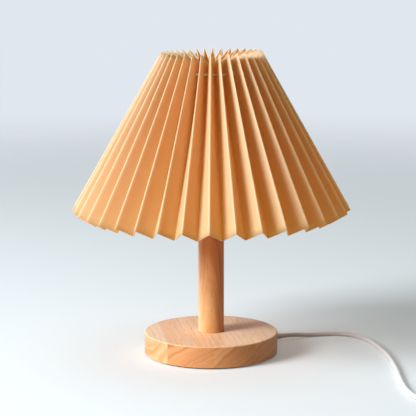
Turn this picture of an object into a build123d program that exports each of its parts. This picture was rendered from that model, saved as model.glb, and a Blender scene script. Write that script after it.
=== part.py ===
"""Pleated table lamp: a folded cone shade on a turned wooden stand, with holder, bulb and switched lead.

Millimetres, +Z up. The origin is the middle of the underside, and the front is -Y.
"""

import math
import os

from build123d import *

os.makedirs("parts", exist_ok=True)

# Clearances between pieces
slip = 0.1
running = 0.35
thread_gap = 0.4

# Wooden stand
base_diameter = 140.0
base_thickness = 22.5
base_top_rounding = 1.5
base_foot_rounding = 0.8
pad_diameter = 132.0
pad_thickness = 1.5
stem_diameter = 27.0
stem_length = 128.0
stem_rounding = 0.6
cavity_diameter = 54.0
cavity_depth = 15.5

# Hollow rod that clamps the stand together
rod_diameter = 10.0
rod_bore = 7.0
rod_stand_out = 0.5
washer_diameter = 24.0
washer_thickness = 1.5
nut_wall = 2.4
nut_thickness = 4.0

# Screw holder for the bulb
cap_diameter = 42.0
cap_height = 22.0
cap_wall = 2.0
cap_shoulder = 7.0
cap_boss_wall = 2.9
cap_boss_height = 10.0
flange_width = 3.25
flange_thickness = 3.0
barrel_diameter = 39.5
barrel_wall = 1.75
barrel_height = 35.0
ledge_width = 3.0
insert_thickness = 8.0
sleeve_wall = 0.6
sleeve_height = 24.0
contact_width = 6.0
contact_thickness = 0.5
contact_rise = 3.0
post_offset = 9.0
post_size = 6.0
post_stud = 3.0
terminal_screw_head = 4.0
terminal_screw_length = 2.0

# Wire carrier for the shade
collar_width = 13.0
collar_thickness = 2.0
clamp_flange_width = 6.0
clamp_grip_wall = 3.5
clamp_flange_thickness = 2.5
clamp_ring_height = 8.0
carrier_wire = 3.0
arm_wire = 2.6
arm_bend = 6.0
arm_count = 3
arm_bearing = 90.0
carrier_drop = 24.0

# Pleated shade
pleat_count = 36
panel_width = 21.5
sheet_height = 190.0
sheet_thickness = 0.5
ridge_top_radius = 51.5
ridge_bottom_radius = 144.5
shade_top = 318.0
trim_margin = 5.0
string_diameter = 1.8
string_drop = 20.5
string_stand_out = 10.0
string_hole_clearance = 0.35
string_hole_sides = 6
knot_diameter = 4.6
knot_reach = 8.1
string_tail_length = 22.0
string_tail_spread = 1.3

# Screw bulb
bulb_diameter = 60.0
bulb_length = 106.0
bulb_tip_diameter = 9.6
bulb_tip_height = 2.2
bulb_insulator_height = 4.0
bulb_insulator_foot = 13.0
bulb_cap_diameter = 26.4
bulb_cap_height = 22.0
bulb_neck_diameter = 28.0
bulb_shoulder_diameter = 57.0
bulb_housing_height = 30.0

# Lead inside the base
cord_diameter = 4.8
core_diameter = 1.9
core_offset = 1.3
core_bend = 5.0
core_fan_bend = 2.5
lead_bearing = 33.0
lead_level = 5.6
gland_shank_diameter = 8.0
gland_inner = 57.0
gland_collar_diameter = 10.4
gland_collar_thickness = 2.0
gland_tail_length = 18.0
gland_tip_wall = 0.5
square_run = 13.0
clamp_near = 15.0
clamp_far = 23.0
clamp_width = 17.0
clamp_floor = 2.8
clamp_screw_offset = 5.6
clamp_screw_diameter = 2.8
clamp_screw_bite = 4.0
clamp_head_diameter = 5.0
clamp_head_depth = 2.4
core_start = 12.0

# Switch on the lead
switch_x = 275.0
switch_y = -216.0
switch_length = 58.0
switch_width = 25.0
switch_corner = 8.0
switch_lower_height = 8.0
switch_upper_height = 8.5
switch_wall = 1.8
switch_edge_rounding = 1.6
switch_cord_reach = 6.0
switch_boss_inset = 10.0
switch_boss_bite = 0.2
switch_boss_diameter = 6.8
switch_screw_diameter = 2.8
switch_screw_head = 5.4
switch_screw_head_depth = 2.0
switch_screw_recess = 0.4
switch_screw_length = 12.0
rocker_length = 14.4
rocker_width = 8.2
rocker_rise = 5.4
rocker_dip = 1.1
rocker_skirt = 1.0
rocker_hub_diameter = 5.6
rocker_tilt = 8.0
rocker_window_gap = 1.3
rocker_pivot_drop = 3.9
pivot_diameter = 2.0
cheek_thickness = 1.8
cheek_length = 10.0
cheek_drop = 4.3
strip_offset = 1.2
strip_width = 5.0
strip_end = 13.0
strip_gap = 2.5
seat_x = 10.0
seat_length = 6.0
seat_level = 7.2
strip_rise = 2.0
wire_side_run = 6.5
wire_bend = 3.0
switch_run_in = 20.0
switch_run_out = 17.0

# Put-away coil, its tie and the plug
coil_x = 310.0
coil_y = -162.0
coil_outer_radius = 34.0
coil_gap = 0.6
coil_half_turns_in = 5
coil_half_turns_out = 6
coil_climb_tuck = 2.5
coil_lift = 1.3
tie_width = 8.0
tie_thickness = 0.7
tie_room = 0.45
tie_corner = 3.0
plug_y = -103.0
plug_entry_x = 296.0
plug_relief_length = 20.0
plug_relief_wall = 0.7
plug_relief_root = 9.0
plug_body_length = 36.0
plug_shoulder_length = 16.0
plug_width = 35.0
plug_shoulder_width = 31.0
plug_thickness = 13.7
plug_rear_width = 13.0
plug_rear_thickness = 10.5
plug_corner = 4.0
pin_diameter = 4.0
pin_core_diameter = 3.0
pin_length = 19.0
pin_sleeve_length = 10.0
pin_root = 6.0
pin_spacing = 18.6
plug_run = 15.0

# Levels worked out from the sizes above
base_top = pad_thickness + base_thickness
cavity_ceiling = pad_thickness + cavity_depth
stem_top = base_top + stem_length
rod_bottom = cavity_ceiling - washer_thickness - nut_thickness - rod_stand_out
cap_floor_top = stem_top + cap_wall
boss_top = stem_top + cap_boss_height
rod_top = boss_top + rod_stand_out
cap_top = stem_top + cap_height
flange_top = cap_top + flange_thickness
barrel_top = flange_top + barrel_height
insert_top = flange_top + insert_thickness
collar_top = flange_top + collar_thickness
contact_top = insert_top + contact_rise
bulb_bottom = contact_top + running
bulb_insulator_bottom = bulb_bottom + bulb_tip_height
bulb_cap_bottom = bulb_insulator_bottom + bulb_insulator_height
bulb_housing_bottom = bulb_cap_bottom + bulb_cap_height
bulb_globe_bottom = bulb_housing_bottom + bulb_housing_height
bulb_top = bulb_bottom + bulb_length
switch_top = switch_lower_height + switch_upper_height
switch_ceiling = switch_top - switch_wall
rocker_level = switch_top - rocker_pivot_drop
cord_radius = cord_diameter / 2
base_radius = base_diameter / 2
rod_hole = rod_diameter / 2 + slip
cap_boss_radius = rod_hole + cap_boss_wall
barrel_radius = barrel_diameter / 2
barrel_bore = barrel_radius - barrel_wall
clamp_bore = barrel_radius + slip
sleeve_bore_radius = bulb_cap_diameter / 2 + thread_gap
carrier_level = shade_top - carrier_drop
string_level = shade_top - string_drop
coil_pitch = cord_diameter + coil_gap
plug_level = plug_thickness / 2
gland_tip = base_radius + gland_collar_thickness + gland_tail_length
lead_cos = math.cos(math.radians(lead_bearing))
lead_sin = math.sin(math.radians(lead_bearing))

BOTTOM = (Align.CENTER, Align.CENTER, Align.MIN)


def turned(*points):
    """Half outline of (radius, height) points, to be turned about the lamp's axis."""
    with BuildSketch(Plane.XZ) as half:
        with BuildLine():
            Polyline(*points, close=True)
        make_face()
    return half.sketch


def band(inner, outer, low, high):
    """Half outline of a plain ring."""
    return turned((inner, low), (outer, low), (outer, high), (inner, high))


def by_lead(along, across, height):
    """A point given along the lead's bearing, across it and up."""
    return (along * lead_cos - across * lead_sin, along * lead_sin + across * lead_cos, height)


def lead_face(along):
    """Plane square to the lead inside the base, at a distance from the lamp's axis."""
    return Plane(by_lead(along, 0, lead_level), x_dir=(-lead_sin, lead_cos, 0), z_dir=(lead_cos, lead_sin, 0))


lead_side = Plane((0, 0, lead_level), x_dir=(lead_cos, lead_sin, 0), z_dir=(lead_sin, -lead_cos, 0))
lead_axis = Axis((0, 0, lead_level), (lead_cos, lead_sin, 0))


# Foam pad, wooden base and stem
with BuildPart() as base_pad:
    Cylinder(pad_diameter / 2, pad_thickness, align=BOTTOM)

with BuildPart() as base_disc:
    revolve(band(rod_hole, base_radius, pad_thickness, base_top), axis=Axis.Z)
    rims = base_disc.edges().filter_by(GeomType.CIRCLE).sort_by(SortBy.RADIUS)[-2:]
    fillet(rims.sort_by(Axis.Z)[-1], base_top_rounding)
    fillet(rims.sort_by(Axis.Z)[0], base_foot_rounding)
    with Locations((0, 0, pad_thickness)):
        Cylinder(cavity_diameter / 2, cavity_depth, align=BOTTOM, mode=Mode.SUBTRACT)
    with BuildSketch(lead_face(0)):
        channel_width = gland_shank_diameter + 2 * slip
        Circle(channel_width / 2)
        with Locations((0, -lead_level / 2)):
            Rectangle(channel_width, lead_level)
    extrude(amount=base_diameter, mode=Mode.SUBTRACT)
    clamp_middle = (clamp_near + clamp_far) / 2
    for side in (-1, 1):
        with Locations(by_lead(clamp_middle, side * clamp_screw_offset, cavity_ceiling)):
            Cylinder(clamp_screw_diameter / 2 + slip, clamp_screw_bite, align=BOTTOM, mode=Mode.SUBTRACT)

with BuildPart() as stem:
    revolve(band(rod_hole, stem_diameter / 2, base_top, stem_top), axis=Axis.Z)
    ends = stem.edges().filter_by(GeomType.CIRCLE).sort_by(SortBy.RADIUS)[-2:]
    fillet(ends, stem_rounding)

# Rod, washer and nut that clamp the stand
with BuildPart() as threaded_rod:
    revolve(band(rod_bore / 2, rod_diameter / 2, rod_bottom, rod_top), axis=Axis.Z)

with BuildPart() as base_washer:
    revolve(band(rod_hole, washer_diameter / 2, cavity_ceiling - washer_thickness, cavity_ceiling), axis=Axis.Z)

with BuildPart() as base_nut:
    with BuildSketch(Plane.XY.offset(rod_bottom + rod_stand_out)):
        RegularPolygon(rod_hole + nut_wall, 6, major_radius=False)
        Circle(rod_hole, mode=Mode.SUBTRACT)
    extrude(amount=nut_thickness)

# Holder: cap, shell, insert and the contacts that the bulb screws into
with BuildPart() as holder_cap:
    inside = cap_diameter / 2 - cap_wall
    with BuildSketch(Plane.XZ):
        with BuildLine():
            FilletPolyline(
                (rod_hole, stem_top),
                (stem_diameter / 2, stem_top),
                (cap_diameter / 2, stem_top + cap_shoulder),
                (cap_diameter / 2, cap_top),
                (inside, cap_top),
                (inside, stem_top + cap_shoulder + cap_wall / 2),
                (stem_diameter / 2 - cap_wall / 2, cap_floor_top),
                (cap_boss_radius, cap_floor_top),
                (cap_boss_radius, boss_top),
                (rod_hole, boss_top),
                radius=[0, 0, cap_shoulder, 0, 0, cap_shoulder - cap_wall, 0, 0, 0, 0],
                close=True,
            )
        make_face()
    revolve(axis=Axis.Z)

with BuildPart() as holder_shell:
    revolve(
        turned(
            (barrel_bore - ledge_width, cap_top),
            (barrel_radius + flange_width, cap_top),
            (barrel_radius + flange_width, flange_top),
            (barrel_radius, flange_top),
            (barrel_radius, barrel_top),
            (barrel_bore, barrel_top),
            (barrel_bore, flange_top),
            (barrel_bore - ledge_width, flange_top),
        ),
        axis=Axis.Z,
    )

with BuildPart() as holder_insert:
    with Locations((0, 0, flange_top)):
        Cylinder(barrel_bore - slip, insert_thickness, align=BOTTOM)
    for side in (-1, 1):
        with Locations(by_lead(0, side * post_offset, flange_top)):
            Cylinder(post_stud / 2 + slip, insert_thickness, align=BOTTOM, mode=Mode.SUBTRACT)

# The lead's own frame, turned so that the two contacts stand across it
contact_frame = Plane((0, 0, insert_top), x_dir=(-lead_sin, lead_cos, 0), z_dir=(0, 0, 1))
contact_side = Plane((0, 0, insert_top), x_dir=(-lead_sin, lead_cos, 0), z_dir=(lead_cos, lead_sin, 0))

with BuildPart() as holder_sleeve:
    sleeve_outer = sleeve_bore_radius + sleeve_wall
    revolve(band(sleeve_bore_radius, sleeve_outer, insert_top, insert_top + sleeve_height), axis=Axis.Z)
    with BuildSketch(contact_frame):
        tab_start = post_offset - contact_width / 2
        tab_length = sleeve_outer - sleeve_wall / 2 - tab_start
        with Locations((tab_start + tab_length / 2, 0)):
            Rectangle(tab_length, contact_width)
    extrude(amount=contact_thickness)

with BuildPart() as centre_contact:
    with BuildSketch(contact_side):
        with BuildLine():
            foot = -post_offset - contact_width / 2
            bend = -post_offset + contact_width / 2
            reach = bulb_tip_diameter / 4
            Polyline(
                (foot, 0),
                (bend, 0),
                (-reach, contact_rise - contact_thickness),
                (reach, contact_rise - contact_thickness),
                (reach, contact_rise),
                (-reach - contact_thickness, contact_rise),
                (bend - contact_thickness, contact_thickness),
                (foot, contact_thickness),
                close=True,
            )
        make_face()
    extrude(amount=contact_width / 2, both=True)

with BuildPart() as terminal_posts:
    for side in (-1, 1):
        with BuildSketch(contact_frame.offset(flange_top - post_size - insert_top)):
            with Locations((side * post_offset, 0)):
                Rectangle(post_size, post_size)
        extrude(amount=post_size)
        with Locations(by_lead(0, side * post_offset, flange_top)):
            Cylinder(post_stud / 2, insert_thickness, align=BOTTOM)

with BuildPart() as terminal_screws:
    for side in (-1, 1):
        with BuildSketch(lead_face(post_size / 2)):
            with Locations((side * post_offset, flange_top - post_size / 2 - lead_level)):
                Circle(terminal_screw_head / 2)
        extrude(amount=terminal_screw_length)

# Pleats: a strip of equal panels, folded in parallel and closed to a cone
half_pitch = math.pi / pleat_count
slope = math.asin((ridge_bottom_radius - ridge_top_radius) / sheet_height)
shade_bottom = shade_top - sheet_height * math.cos(slope)
half_sheet = sheet_thickness / 2


def valley_end(ridge_radius):
    """Radius of the valley fold at an end of the sheet, and how far it drops, for panels cut square."""
    spread = math.tan(half_pitch) ** 2
    a = 1 / math.cos(slope) ** 2 + spread
    b = -2 * ridge_radius * spread
    c = ridge_radius**2 * spread - panel_width**2
    inward = (math.sqrt(b * b - 4 * a * c) - b) / (2 * a)
    return (ridge_radius - inward) / math.cos(half_pitch), inward * math.tan(slope)


valley_top_radius, top_drop = valley_end(ridge_top_radius)
valley_bottom_radius, bottom_drop = valley_end(ridge_bottom_radius)
valley_top = shade_top - top_drop
valley_bottom = shade_bottom - bottom_drop
valley_flare = (valley_bottom_radius - valley_top_radius) / (valley_top - valley_bottom)


def ridge_at(level):
    """Radius of the ridge folds at a height."""
    return ridge_top_radius + (shade_top - level) * math.tan(slope)


def valley_at(level):
    """Radius of the valley folds at a height."""
    return valley_top_radius + (valley_top - level) * valley_flare


string_radius = valley_at(string_level) + string_stand_out
knot_radius = string_radius + knot_reach


def polar(radius, angle, across=0.0):
    """A point at a radius and an angle, moved sideways."""
    x = radius * math.cos(angle) - across * math.sin(angle)
    y = radius * math.sin(angle) + across * math.cos(angle)
    return (x, y)


def folded_outline(level, outside):
    """One face of the folded sheet at a height: blunt at the folds that face out of it, sharp at the others."""
    ridge, valley = ridge_at(level), valley_at(level)
    lean_ridge = math.atan2(valley * math.sin(half_pitch), ridge - valley * math.cos(half_pitch))
    lean_valley = math.atan2(ridge * math.sin(half_pitch), ridge * math.cos(half_pitch) - valley)
    points = []
    for pleat in range(pleat_count):
        crest = 2 * pleat * half_pitch - math.pi / 2
        trough = crest + half_pitch
        if outside:
            blunt = half_sheet / math.cos(lean_ridge) - half_sheet * math.tan(lean_ridge)
            points += [polar(ridge + half_sheet, crest, s * blunt) for s in (-1, 1)]
            points.append(polar(valley + half_sheet / math.sin(lean_valley), trough))
        else:
            blunt = half_sheet / math.cos(lean_valley) - half_sheet * math.tan(lean_valley)
            points.append(polar(ridge - half_sheet / math.sin(lean_ridge), crest))
            points += [polar(valley - half_sheet, trough, s * blunt) for s in (-1, 1)]
    return points


def beyond(start, end):
    """The point a trim margin past the end of a line."""
    share = trim_margin / math.dist(start, end)
    return tuple(e + share * (e - s) for s, e in zip(start, end))


with BuildPart() as shade_sheet:
    for outside, mode in ((True, Mode.ADD), (False, Mode.SUBTRACT)):
        for level in (valley_bottom - trim_margin, shade_top + trim_margin):
            with BuildSketch(Plane.XY.offset(level)):
                with BuildLine():
                    Polyline(*folded_outline(level, outside), close=True)
                make_face()
        loft(ruled=True, mode=mode)
    crest_top, trough_top = (ridge_top_radius, shade_top), (valley_top_radius, valley_top)
    crest_bottom, trough_bottom = (ridge_bottom_radius, shade_bottom), (valley_bottom_radius, valley_bottom)
    revolve(
        turned(
            beyond(crest_top, trough_top),
            beyond(trough_top, crest_top),
            beyond(trough_bottom, crest_bottom),
            beyond(crest_bottom, trough_bottom),
        ),
        axis=Axis.Z,
        mode=Mode.INTERSECT,
    )
    for pleat in range(pleat_count):
        crest = 2 * pleat * half_pitch - math.pi / 2
        hole_x, hole_y = polar(string_radius, crest)
        with BuildSketch(Plane((hole_x, hole_y, string_level), z_dir=(-hole_y, hole_x, 0))):
            hole_radius = string_diameter / 2 + string_hole_clearance
            RegularPolygon(hole_radius, string_hole_sides, major_radius=False)
    extrude(amount=string_radius * math.tan(half_pitch), both=True, mode=Mode.SUBTRACT)

# String through the pleats, knotted in a valley at the back
knot_angle = math.pi / 2 + half_pitch
knot_x, knot_y = polar(knot_radius, knot_angle)

with BuildPart() as drawstring:
    with Locations((0, 0, string_level)):
        Torus(string_radius, string_diameter / 2)
    with Locations((knot_x, knot_y, string_level)):
        Sphere(knot_diameter / 2)
    ring_x, ring_y = polar(string_radius, knot_angle)
    outward = (math.cos(knot_angle), math.sin(knot_angle), 0)
    with BuildSketch(Plane((ring_x, ring_y, string_level), z_dir=outward)):
        Circle(string_diameter / 2)
    extrude(amount=knot_radius - string_radius)
    for side in (-1, 1):
        tail_x, tail_y = polar(knot_radius, knot_angle, side * string_tail_spread)
        hang = (valley_flare * outward[0], valley_flare * outward[1], -1)
        with BuildSketch(Plane((tail_x, tail_y, string_level), z_dir=hang)):
            Circle(string_diameter / 2)
        extrude(amount=string_tail_length)

# Wire carrier: the valley folds rest on its upper ring
carrier_reach = (carrier_wire / 2 + running) * math.hypot(1, valley_flare)
carrier_radius = valley_at(carrier_level) - half_sheet - carrier_reach

with BuildPart() as carrier_collar:
    revolve(band(clamp_bore, clamp_bore + collar_width, flange_top, collar_top), axis=Axis.Z)

with BuildPart() as shade_clamp_ring:
    revolve(
        turned(
            (clamp_bore, collar_top),
            (clamp_bore + clamp_flange_width, collar_top),
            (clamp_bore + clamp_flange_width, collar_top + clamp_flange_thickness),
            (clamp_bore + clamp_grip_wall, collar_top + clamp_flange_thickness),
            (clamp_bore + clamp_grip_wall, collar_top + clamp_ring_height),
            (clamp_bore, collar_top + clamp_ring_height),
        ),
        axis=Axis.Z,
    )

with BuildPart() as carrier_ring:
    with Locations((0, 0, carrier_level)):
        Torus(carrier_radius, carrier_wire / 2)

with BuildPart() as carrier_arms:
    foot_level = collar_top + arm_wire / 2
    for arm in range(arm_count):
        bearing = math.radians(arm_bearing + 360 / arm_count * arm)
        with BuildLine(Plane.XZ.rotated((0, 0, math.degrees(bearing)))) as arm_path:
            FilletPolyline(
                (clamp_bore + clamp_flange_width + running, foot_level),
                (carrier_radius, foot_level),
                (carrier_radius, carrier_level),
                radius=[arm_bend],
            )
        with BuildSketch(Plane(arm_path.line @ 0, z_dir=arm_path.line % 0)):
            Circle(arm_wire / 2)
        sweep()
    with Locations((0, 0, carrier_level)):
        Torus(carrier_radius, carrier_wire / 2, mode=Mode.SUBTRACT)

# Bulb, as turned pieces one above the other
with BuildPart() as bulb_tip:
    with BuildSketch(Plane.XZ):
        with BuildLine():
            tip_radius = bulb_tip_diameter / 2
            tip_edge = bulb_bottom + bulb_tip_height / 2
            Line((0, bulb_insulator_bottom), (0, bulb_bottom))
            TangentArc((0, bulb_bottom), (tip_radius, tip_edge), tangent=(1, 0))
            Polyline((tip_radius, tip_edge), (tip_radius, bulb_insulator_bottom), (0, bulb_insulator_bottom))
        make_face()
    revolve(axis=Axis.Z)

with BuildPart() as bulb_insulator:
    revolve(
        turned(
            (0, bulb_insulator_bottom),
            (bulb_insulator_foot / 2, bulb_insulator_bottom),
            (bulb_cap_diameter / 2, bulb_cap_bottom),
            (0, bulb_cap_bottom),
        ),
        axis=Axis.Z,
    )

with BuildPart() as bulb_cap:
    revolve(band(0, bulb_cap_diameter / 2, bulb_cap_bottom, bulb_housing_bottom), axis=Axis.Z)

with BuildPart() as bulb_housing:
    with BuildSketch(Plane.XZ):
        with BuildLine():
            neck = (bulb_neck_diameter / 2, bulb_housing_bottom)
            shoulder = (bulb_shoulder_diameter / 2, bulb_globe_bottom)
            Polyline((0, bulb_globe_bottom), (0, bulb_housing_bottom), neck)
            TangentArc(neck, shoulder, tangent=(0, 1))
            Line(shoulder, (0, bulb_globe_bottom))
        make_face()
    revolve(axis=Axis.Z)

with BuildPart() as bulb_globe:
    globe_radius = bulb_diameter / 2
    globe_middle = bulb_top - globe_radius
    with BuildSketch(Plane.XZ):
        with BuildLine():
            rim = (bulb_shoulder_diameter / 2, bulb_globe_bottom)
            Polyline((0, bulb_top), (0, bulb_globe_bottom), rim)
            TangentArc((globe_radius, globe_middle), rim, tangent=(0, -1))
            TangentArc((globe_radius, globe_middle), (0, bulb_top), tangent=(0, 1))
        make_face()
    revolve(axis=Axis.Z)

# Lead inside the base: strain relief, sheath, clamp and the two cores
with BuildPart() as cord_gland:
    with BuildSketch(lead_side):
        with BuildLine():
            gland_bore = cord_radius + slip
            collar_end = base_radius + gland_collar_thickness
            Polyline(
                (gland_inner, gland_bore),
                (gland_inner, gland_shank_diameter / 2),
                (base_radius + slip, gland_shank_diameter / 2),
                (base_radius + slip, gland_collar_diameter / 2),
                (collar_end, gland_collar_diameter / 2),
                (collar_end, gland_shank_diameter / 2),
                (gland_tip, gland_bore + gland_tip_wall),
                (gland_tip, gland_bore),
                close=True,
            )
        make_face()
    revolve(axis=lead_axis)

with BuildPart() as cord_inner:
    with BuildSketch(lead_face(core_start)):
        Circle(cord_radius)
    extrude(amount=gland_tip - core_start)

with BuildPart() as cord_clamp:
    with BuildSketch(lead_face(clamp_near)):
        with Locations((0, (clamp_floor + cavity_ceiling) / 2 - lead_level)):
            Rectangle(clamp_width, cavity_ceiling - clamp_floor)
        Circle(cord_radius + slip, mode=Mode.SUBTRACT)
    extrude(amount=clamp_far - clamp_near)
    for side in (-1, 1):
        with Locations(by_lead(clamp_middle, side * clamp_screw_offset, clamp_floor)):
            head_hole = clamp_head_diameter / 2 + slip
            Cylinder(head_hole, clamp_head_depth, align=BOTTOM, mode=Mode.SUBTRACT)
            shank_hole = clamp_screw_diameter / 2 + slip
            Cylinder(shank_hole, cavity_depth, align=BOTTOM, mode=Mode.SUBTRACT)

with BuildPart() as clamp_screws:
    head_top = clamp_floor + clamp_head_depth
    for side in (-1, 1):
        with Locations(by_lead(clamp_middle, side * clamp_screw_offset, clamp_floor)):
            Cylinder(clamp_head_diameter / 2, clamp_head_depth, align=BOTTOM)
        with Locations(by_lead(clamp_middle, side * clamp_screw_offset, head_top)):
            shank_length = cavity_ceiling + clamp_screw_bite - slip - head_top
            Cylinder(clamp_screw_diameter / 2, shank_length, align=BOTTOM)


def tube(points, radii, diameter):
    """Round tube along straight runs joined by tangent arcs."""
    with BuildPart() as swept:
        with BuildLine() as path:
            FilletPolyline(*points, radius=radii)
        wire = path.wires()[0]
        with BuildSketch(Plane(wire @ 0, z_dir=wire % 0)):
            Circle(diameter / 2)
        sweep(path=wire)
    share = swept.part.volume / (wire.length * math.pi * diameter**2 / 4)
    print("tube length", round(wire.length, 1), "volume share", round(share, 4))
    return swept


def core(side):
    """One insulated core, from the sheath up the rod and out to its terminal post."""
    lower, upper = side * core_offset, side * post_offset
    fan_level = rod_top + core_diameter + core_fan_bend
    post_bottom = flange_top - post_size
    points = [
        by_lead(core_start, lower, lead_level),
        by_lead(0, lower, lead_level),
        by_lead(0, lower, fan_level),
        by_lead(0, upper, (fan_level + post_bottom) / 2),
        by_lead(0, upper, post_bottom),
    ]
    return tube(points, [core_bend, core_fan_bend, core_fan_bend / 2], core_diameter)


live_core = core(1)
neutral_core = core(-1)

# Route of the lead over the table, from the strain relief to the switch
tip_x, tip_y, tip_z = by_lead(gland_tip, 0, lead_level)
switch_inlet = switch_x - switch_length / 2 + switch_cord_reach
switch_outlet = switch_x + switch_length / 2 - switch_cord_reach
lead_route = [
    (tip_x, tip_y, tip_z),
    by_lead(gland_tip + square_run, 0, lead_level),
    (103.0, 63.5, 3.2),
    (122.0, 70.5, cord_radius),
    (141.0, 73.0, cord_radius),
    (157.0, 66.0, cord_radius),
    (168.5, 49.0, cord_radius),
    (176.0, 26.0, cord_radius),
    (182.0, -2.0, cord_radius),
    (186.0, -36.0, cord_radius),
    (187.5, -76.0, cord_radius),
    (186.5, -118.0, cord_radius),
    (188.0, -156.0, cord_radius),
    (197.0, -186.0, cord_radius),
    (214.0, -207.0, 4.2),
    (switch_inlet - switch_run_in, switch_y, switch_lower_height),
    (switch_inlet, switch_y, switch_lower_height),
]


def even_bends(route):
    """The largest bend at each corner that its two runs leave room for."""
    radii = []
    for before, corner, after in zip(route, route[1:], route[2:]):
        run_in, run_out = Vector(corner) - Vector(before), Vector(after) - Vector(corner)
        half_turn = math.radians(run_in.get_angle(run_out)) / 2
        radii.append(0.45 * min(run_in.length, run_out.length) / math.tan(half_turn))
    print("bend radii", [round(r, 1) for r in radii])
    return radii


cord_lead = tube(lead_route, even_bends(lead_route), cord_diameter)

# Coil: half turns that spiral in on the lower layer, climb, and spiral out on the upper one
coil_low = coil_lift + cord_radius
coil_high = coil_low + coil_pitch
half_step = coil_pitch / 2
coil_inner_radius = coil_outer_radius - half_step * coil_half_turns_in
coil_radii = [coil_outer_radius - half_step * k for k in range(coil_half_turns_in + 1)]
coil_radii.append(coil_inner_radius - coil_climb_tuck)
coil_radii += [coil_inner_radius + half_step * (k + 1) for k in range(coil_half_turns_out)]
coil_levels = [coil_low if k <= coil_half_turns_in else coil_high for k in range(len(coil_radii))]
coil_stations = [
    (coil_x + (1 - 2 * (k % 2)) * radius, coil_y, level)
    for k, (radius, level) in enumerate(zip(coil_radii, coil_levels))
]
coil_start = (coil_stations[0][0], coil_y - cord_diameter, coil_low)
coil_end = (coil_stations[-1][0], coil_y + cord_diameter, coil_high)

with BuildPart() as cord_coil:
    with BuildLine() as coil_path:
        Line(coil_start, coil_stations[0])
        for k, (here, there) in enumerate(zip(coil_stations, coil_stations[1:])):
            heading = Vector(0, 1 - 2 * (k % 2), 0)
            middle = (Vector(here) + Vector(there)) / 2 + heading * (math.dist(here, there) / 2)
            first = TangentArc(here, middle, tangent=heading)
            TangentArc(middle, there, tangent=first % 1)
        Line(coil_stations[-1], coil_end)
    with BuildSketch(Plane(coil_start, z_dir=(0, 1, 0))):
        Circle(cord_radius)
    sweep(path=coil_path.wires()[0])

coil_wire = coil_path.wires()[0]
sample_count = 600
coil_samples = [coil_wire @ (k / sample_count) for k in range(sample_count + 1)]
apart = math.ceil(3 * cord_diameter / coil_wire.length * sample_count)
least_gap = min(
    (coil_samples[i] - coil_samples[j]).length - cord_diameter
    for i in range(sample_count + 1)
    for j in range(i + apart, sample_count + 1)
)
print("coil length", round(coil_wire.length, 1), "least gap to itself", round(least_gap, 2))

link_route = [
    (switch_outlet, switch_y, switch_lower_height),
    (switch_outlet + switch_run_out, switch_y, switch_lower_height),
    (331.5, -210.0, 6.6),
    (341.5, -196.0, 4.6),
    (coil_start[0], -180.0, coil_low),
    coil_start,
]
cord_link = tube(link_route, even_bends(link_route), cord_diameter)

tail_route = [
    coil_end,
    (coil_end[0], -142.0, coil_high),
    (341.0, -124.0, 8.4),
    (328.0, -110.0, 7.4),
    (plug_entry_x + plug_run, plug_y, plug_level),
    (plug_entry_x, plug_y, plug_level),
]
cord_tail = tube(tail_route, even_bends(tail_route), cord_diameter)

with BuildPart() as cord_tie:
    tie_inner = coil_inner_radius - cord_radius - 3 * tie_room
    tie_outer = coil_radii[-2] + cord_radius + tie_room
    tie_low = coil_lift - tie_room
    tie_high = coil_high + cord_radius + tie_room
    tie_middle = (coil_x - (tie_inner + tie_outer) / 2, coil_y, (tie_low + tie_high) / 2)
    with BuildSketch(Plane(tie_middle, x_dir=(1, 0, 0), z_dir=(0, -1, 0))):
        across, up = tie_outer - tie_inner, tie_high - tie_low
        RectangleRounded(across + 2 * tie_thickness, up + 2 * tie_thickness, tie_corner + tie_thickness)
        RectangleRounded(across, up, tie_corner, mode=Mode.SUBTRACT)
    extrude(amount=tie_width / 2, both=True)

# Switch: two shells, a rocker on its pin, contact strips, wires and screws
switch_plan = Plane((switch_x, switch_y, 0))
pivot = (switch_x, switch_y, rocker_level)
switch_elevation = Plane(pivot, x_dir=(1, 0, 0), z_dir=(0, -1, 0))
inner_length = switch_length - 2 * switch_wall
inner_width = switch_width - 2 * switch_wall
boss_x = switch_length / 2 - switch_boss_inset
boss_y = inner_width / 2 - switch_boss_diameter / 2 + switch_boss_bite
boss_places = [(-boss_x, boss_y), (boss_x, boss_y)]
cord_entry = Plane((switch_x, switch_y, switch_lower_height), x_dir=(0, 1, 0), z_dir=(1, 0, 0))

with BuildPart() as switch_lower_shell:
    with BuildSketch(switch_plan):
        RectangleRounded(switch_length, switch_width, switch_corner)
    extrude(amount=switch_lower_height)
    fillet(switch_lower_shell.faces().sort_by(Axis.Z)[0].edges(), switch_edge_rounding)
    with BuildSketch(switch_plan.offset(switch_wall)):
        RectangleRounded(inner_length, inner_width, switch_corner - switch_wall)
    extrude(amount=switch_lower_height - switch_wall, mode=Mode.SUBTRACT)
    with BuildSketch(switch_plan.offset(switch_wall)):
        with Locations(*boss_places):
            Circle(switch_boss_diameter / 2)
    extrude(amount=switch_lower_height - switch_wall)
    with BuildSketch(switch_plan.offset(switch_wall)):
        with Locations((-seat_x, strip_offset), (seat_x, strip_offset)):
            Rectangle(seat_length, strip_width)
    extrude(amount=seat_level - switch_wall)
    with BuildSketch(switch_plan):
        with Locations(*boss_places):
            Circle(switch_screw_diameter / 2 + slip)
    extrude(amount=switch_lower_height, mode=Mode.SUBTRACT)
    with BuildSketch(switch_plan):
        with Locations(*boss_places):
            Circle(switch_screw_head / 2 + slip)
    extrude(amount=switch_screw_recess + switch_screw_head_depth, mode=Mode.SUBTRACT)
    with BuildSketch(cord_entry):
        Circle(cord_radius + slip)
    extrude(amount=switch_length, both=True, mode=Mode.SUBTRACT)

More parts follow.
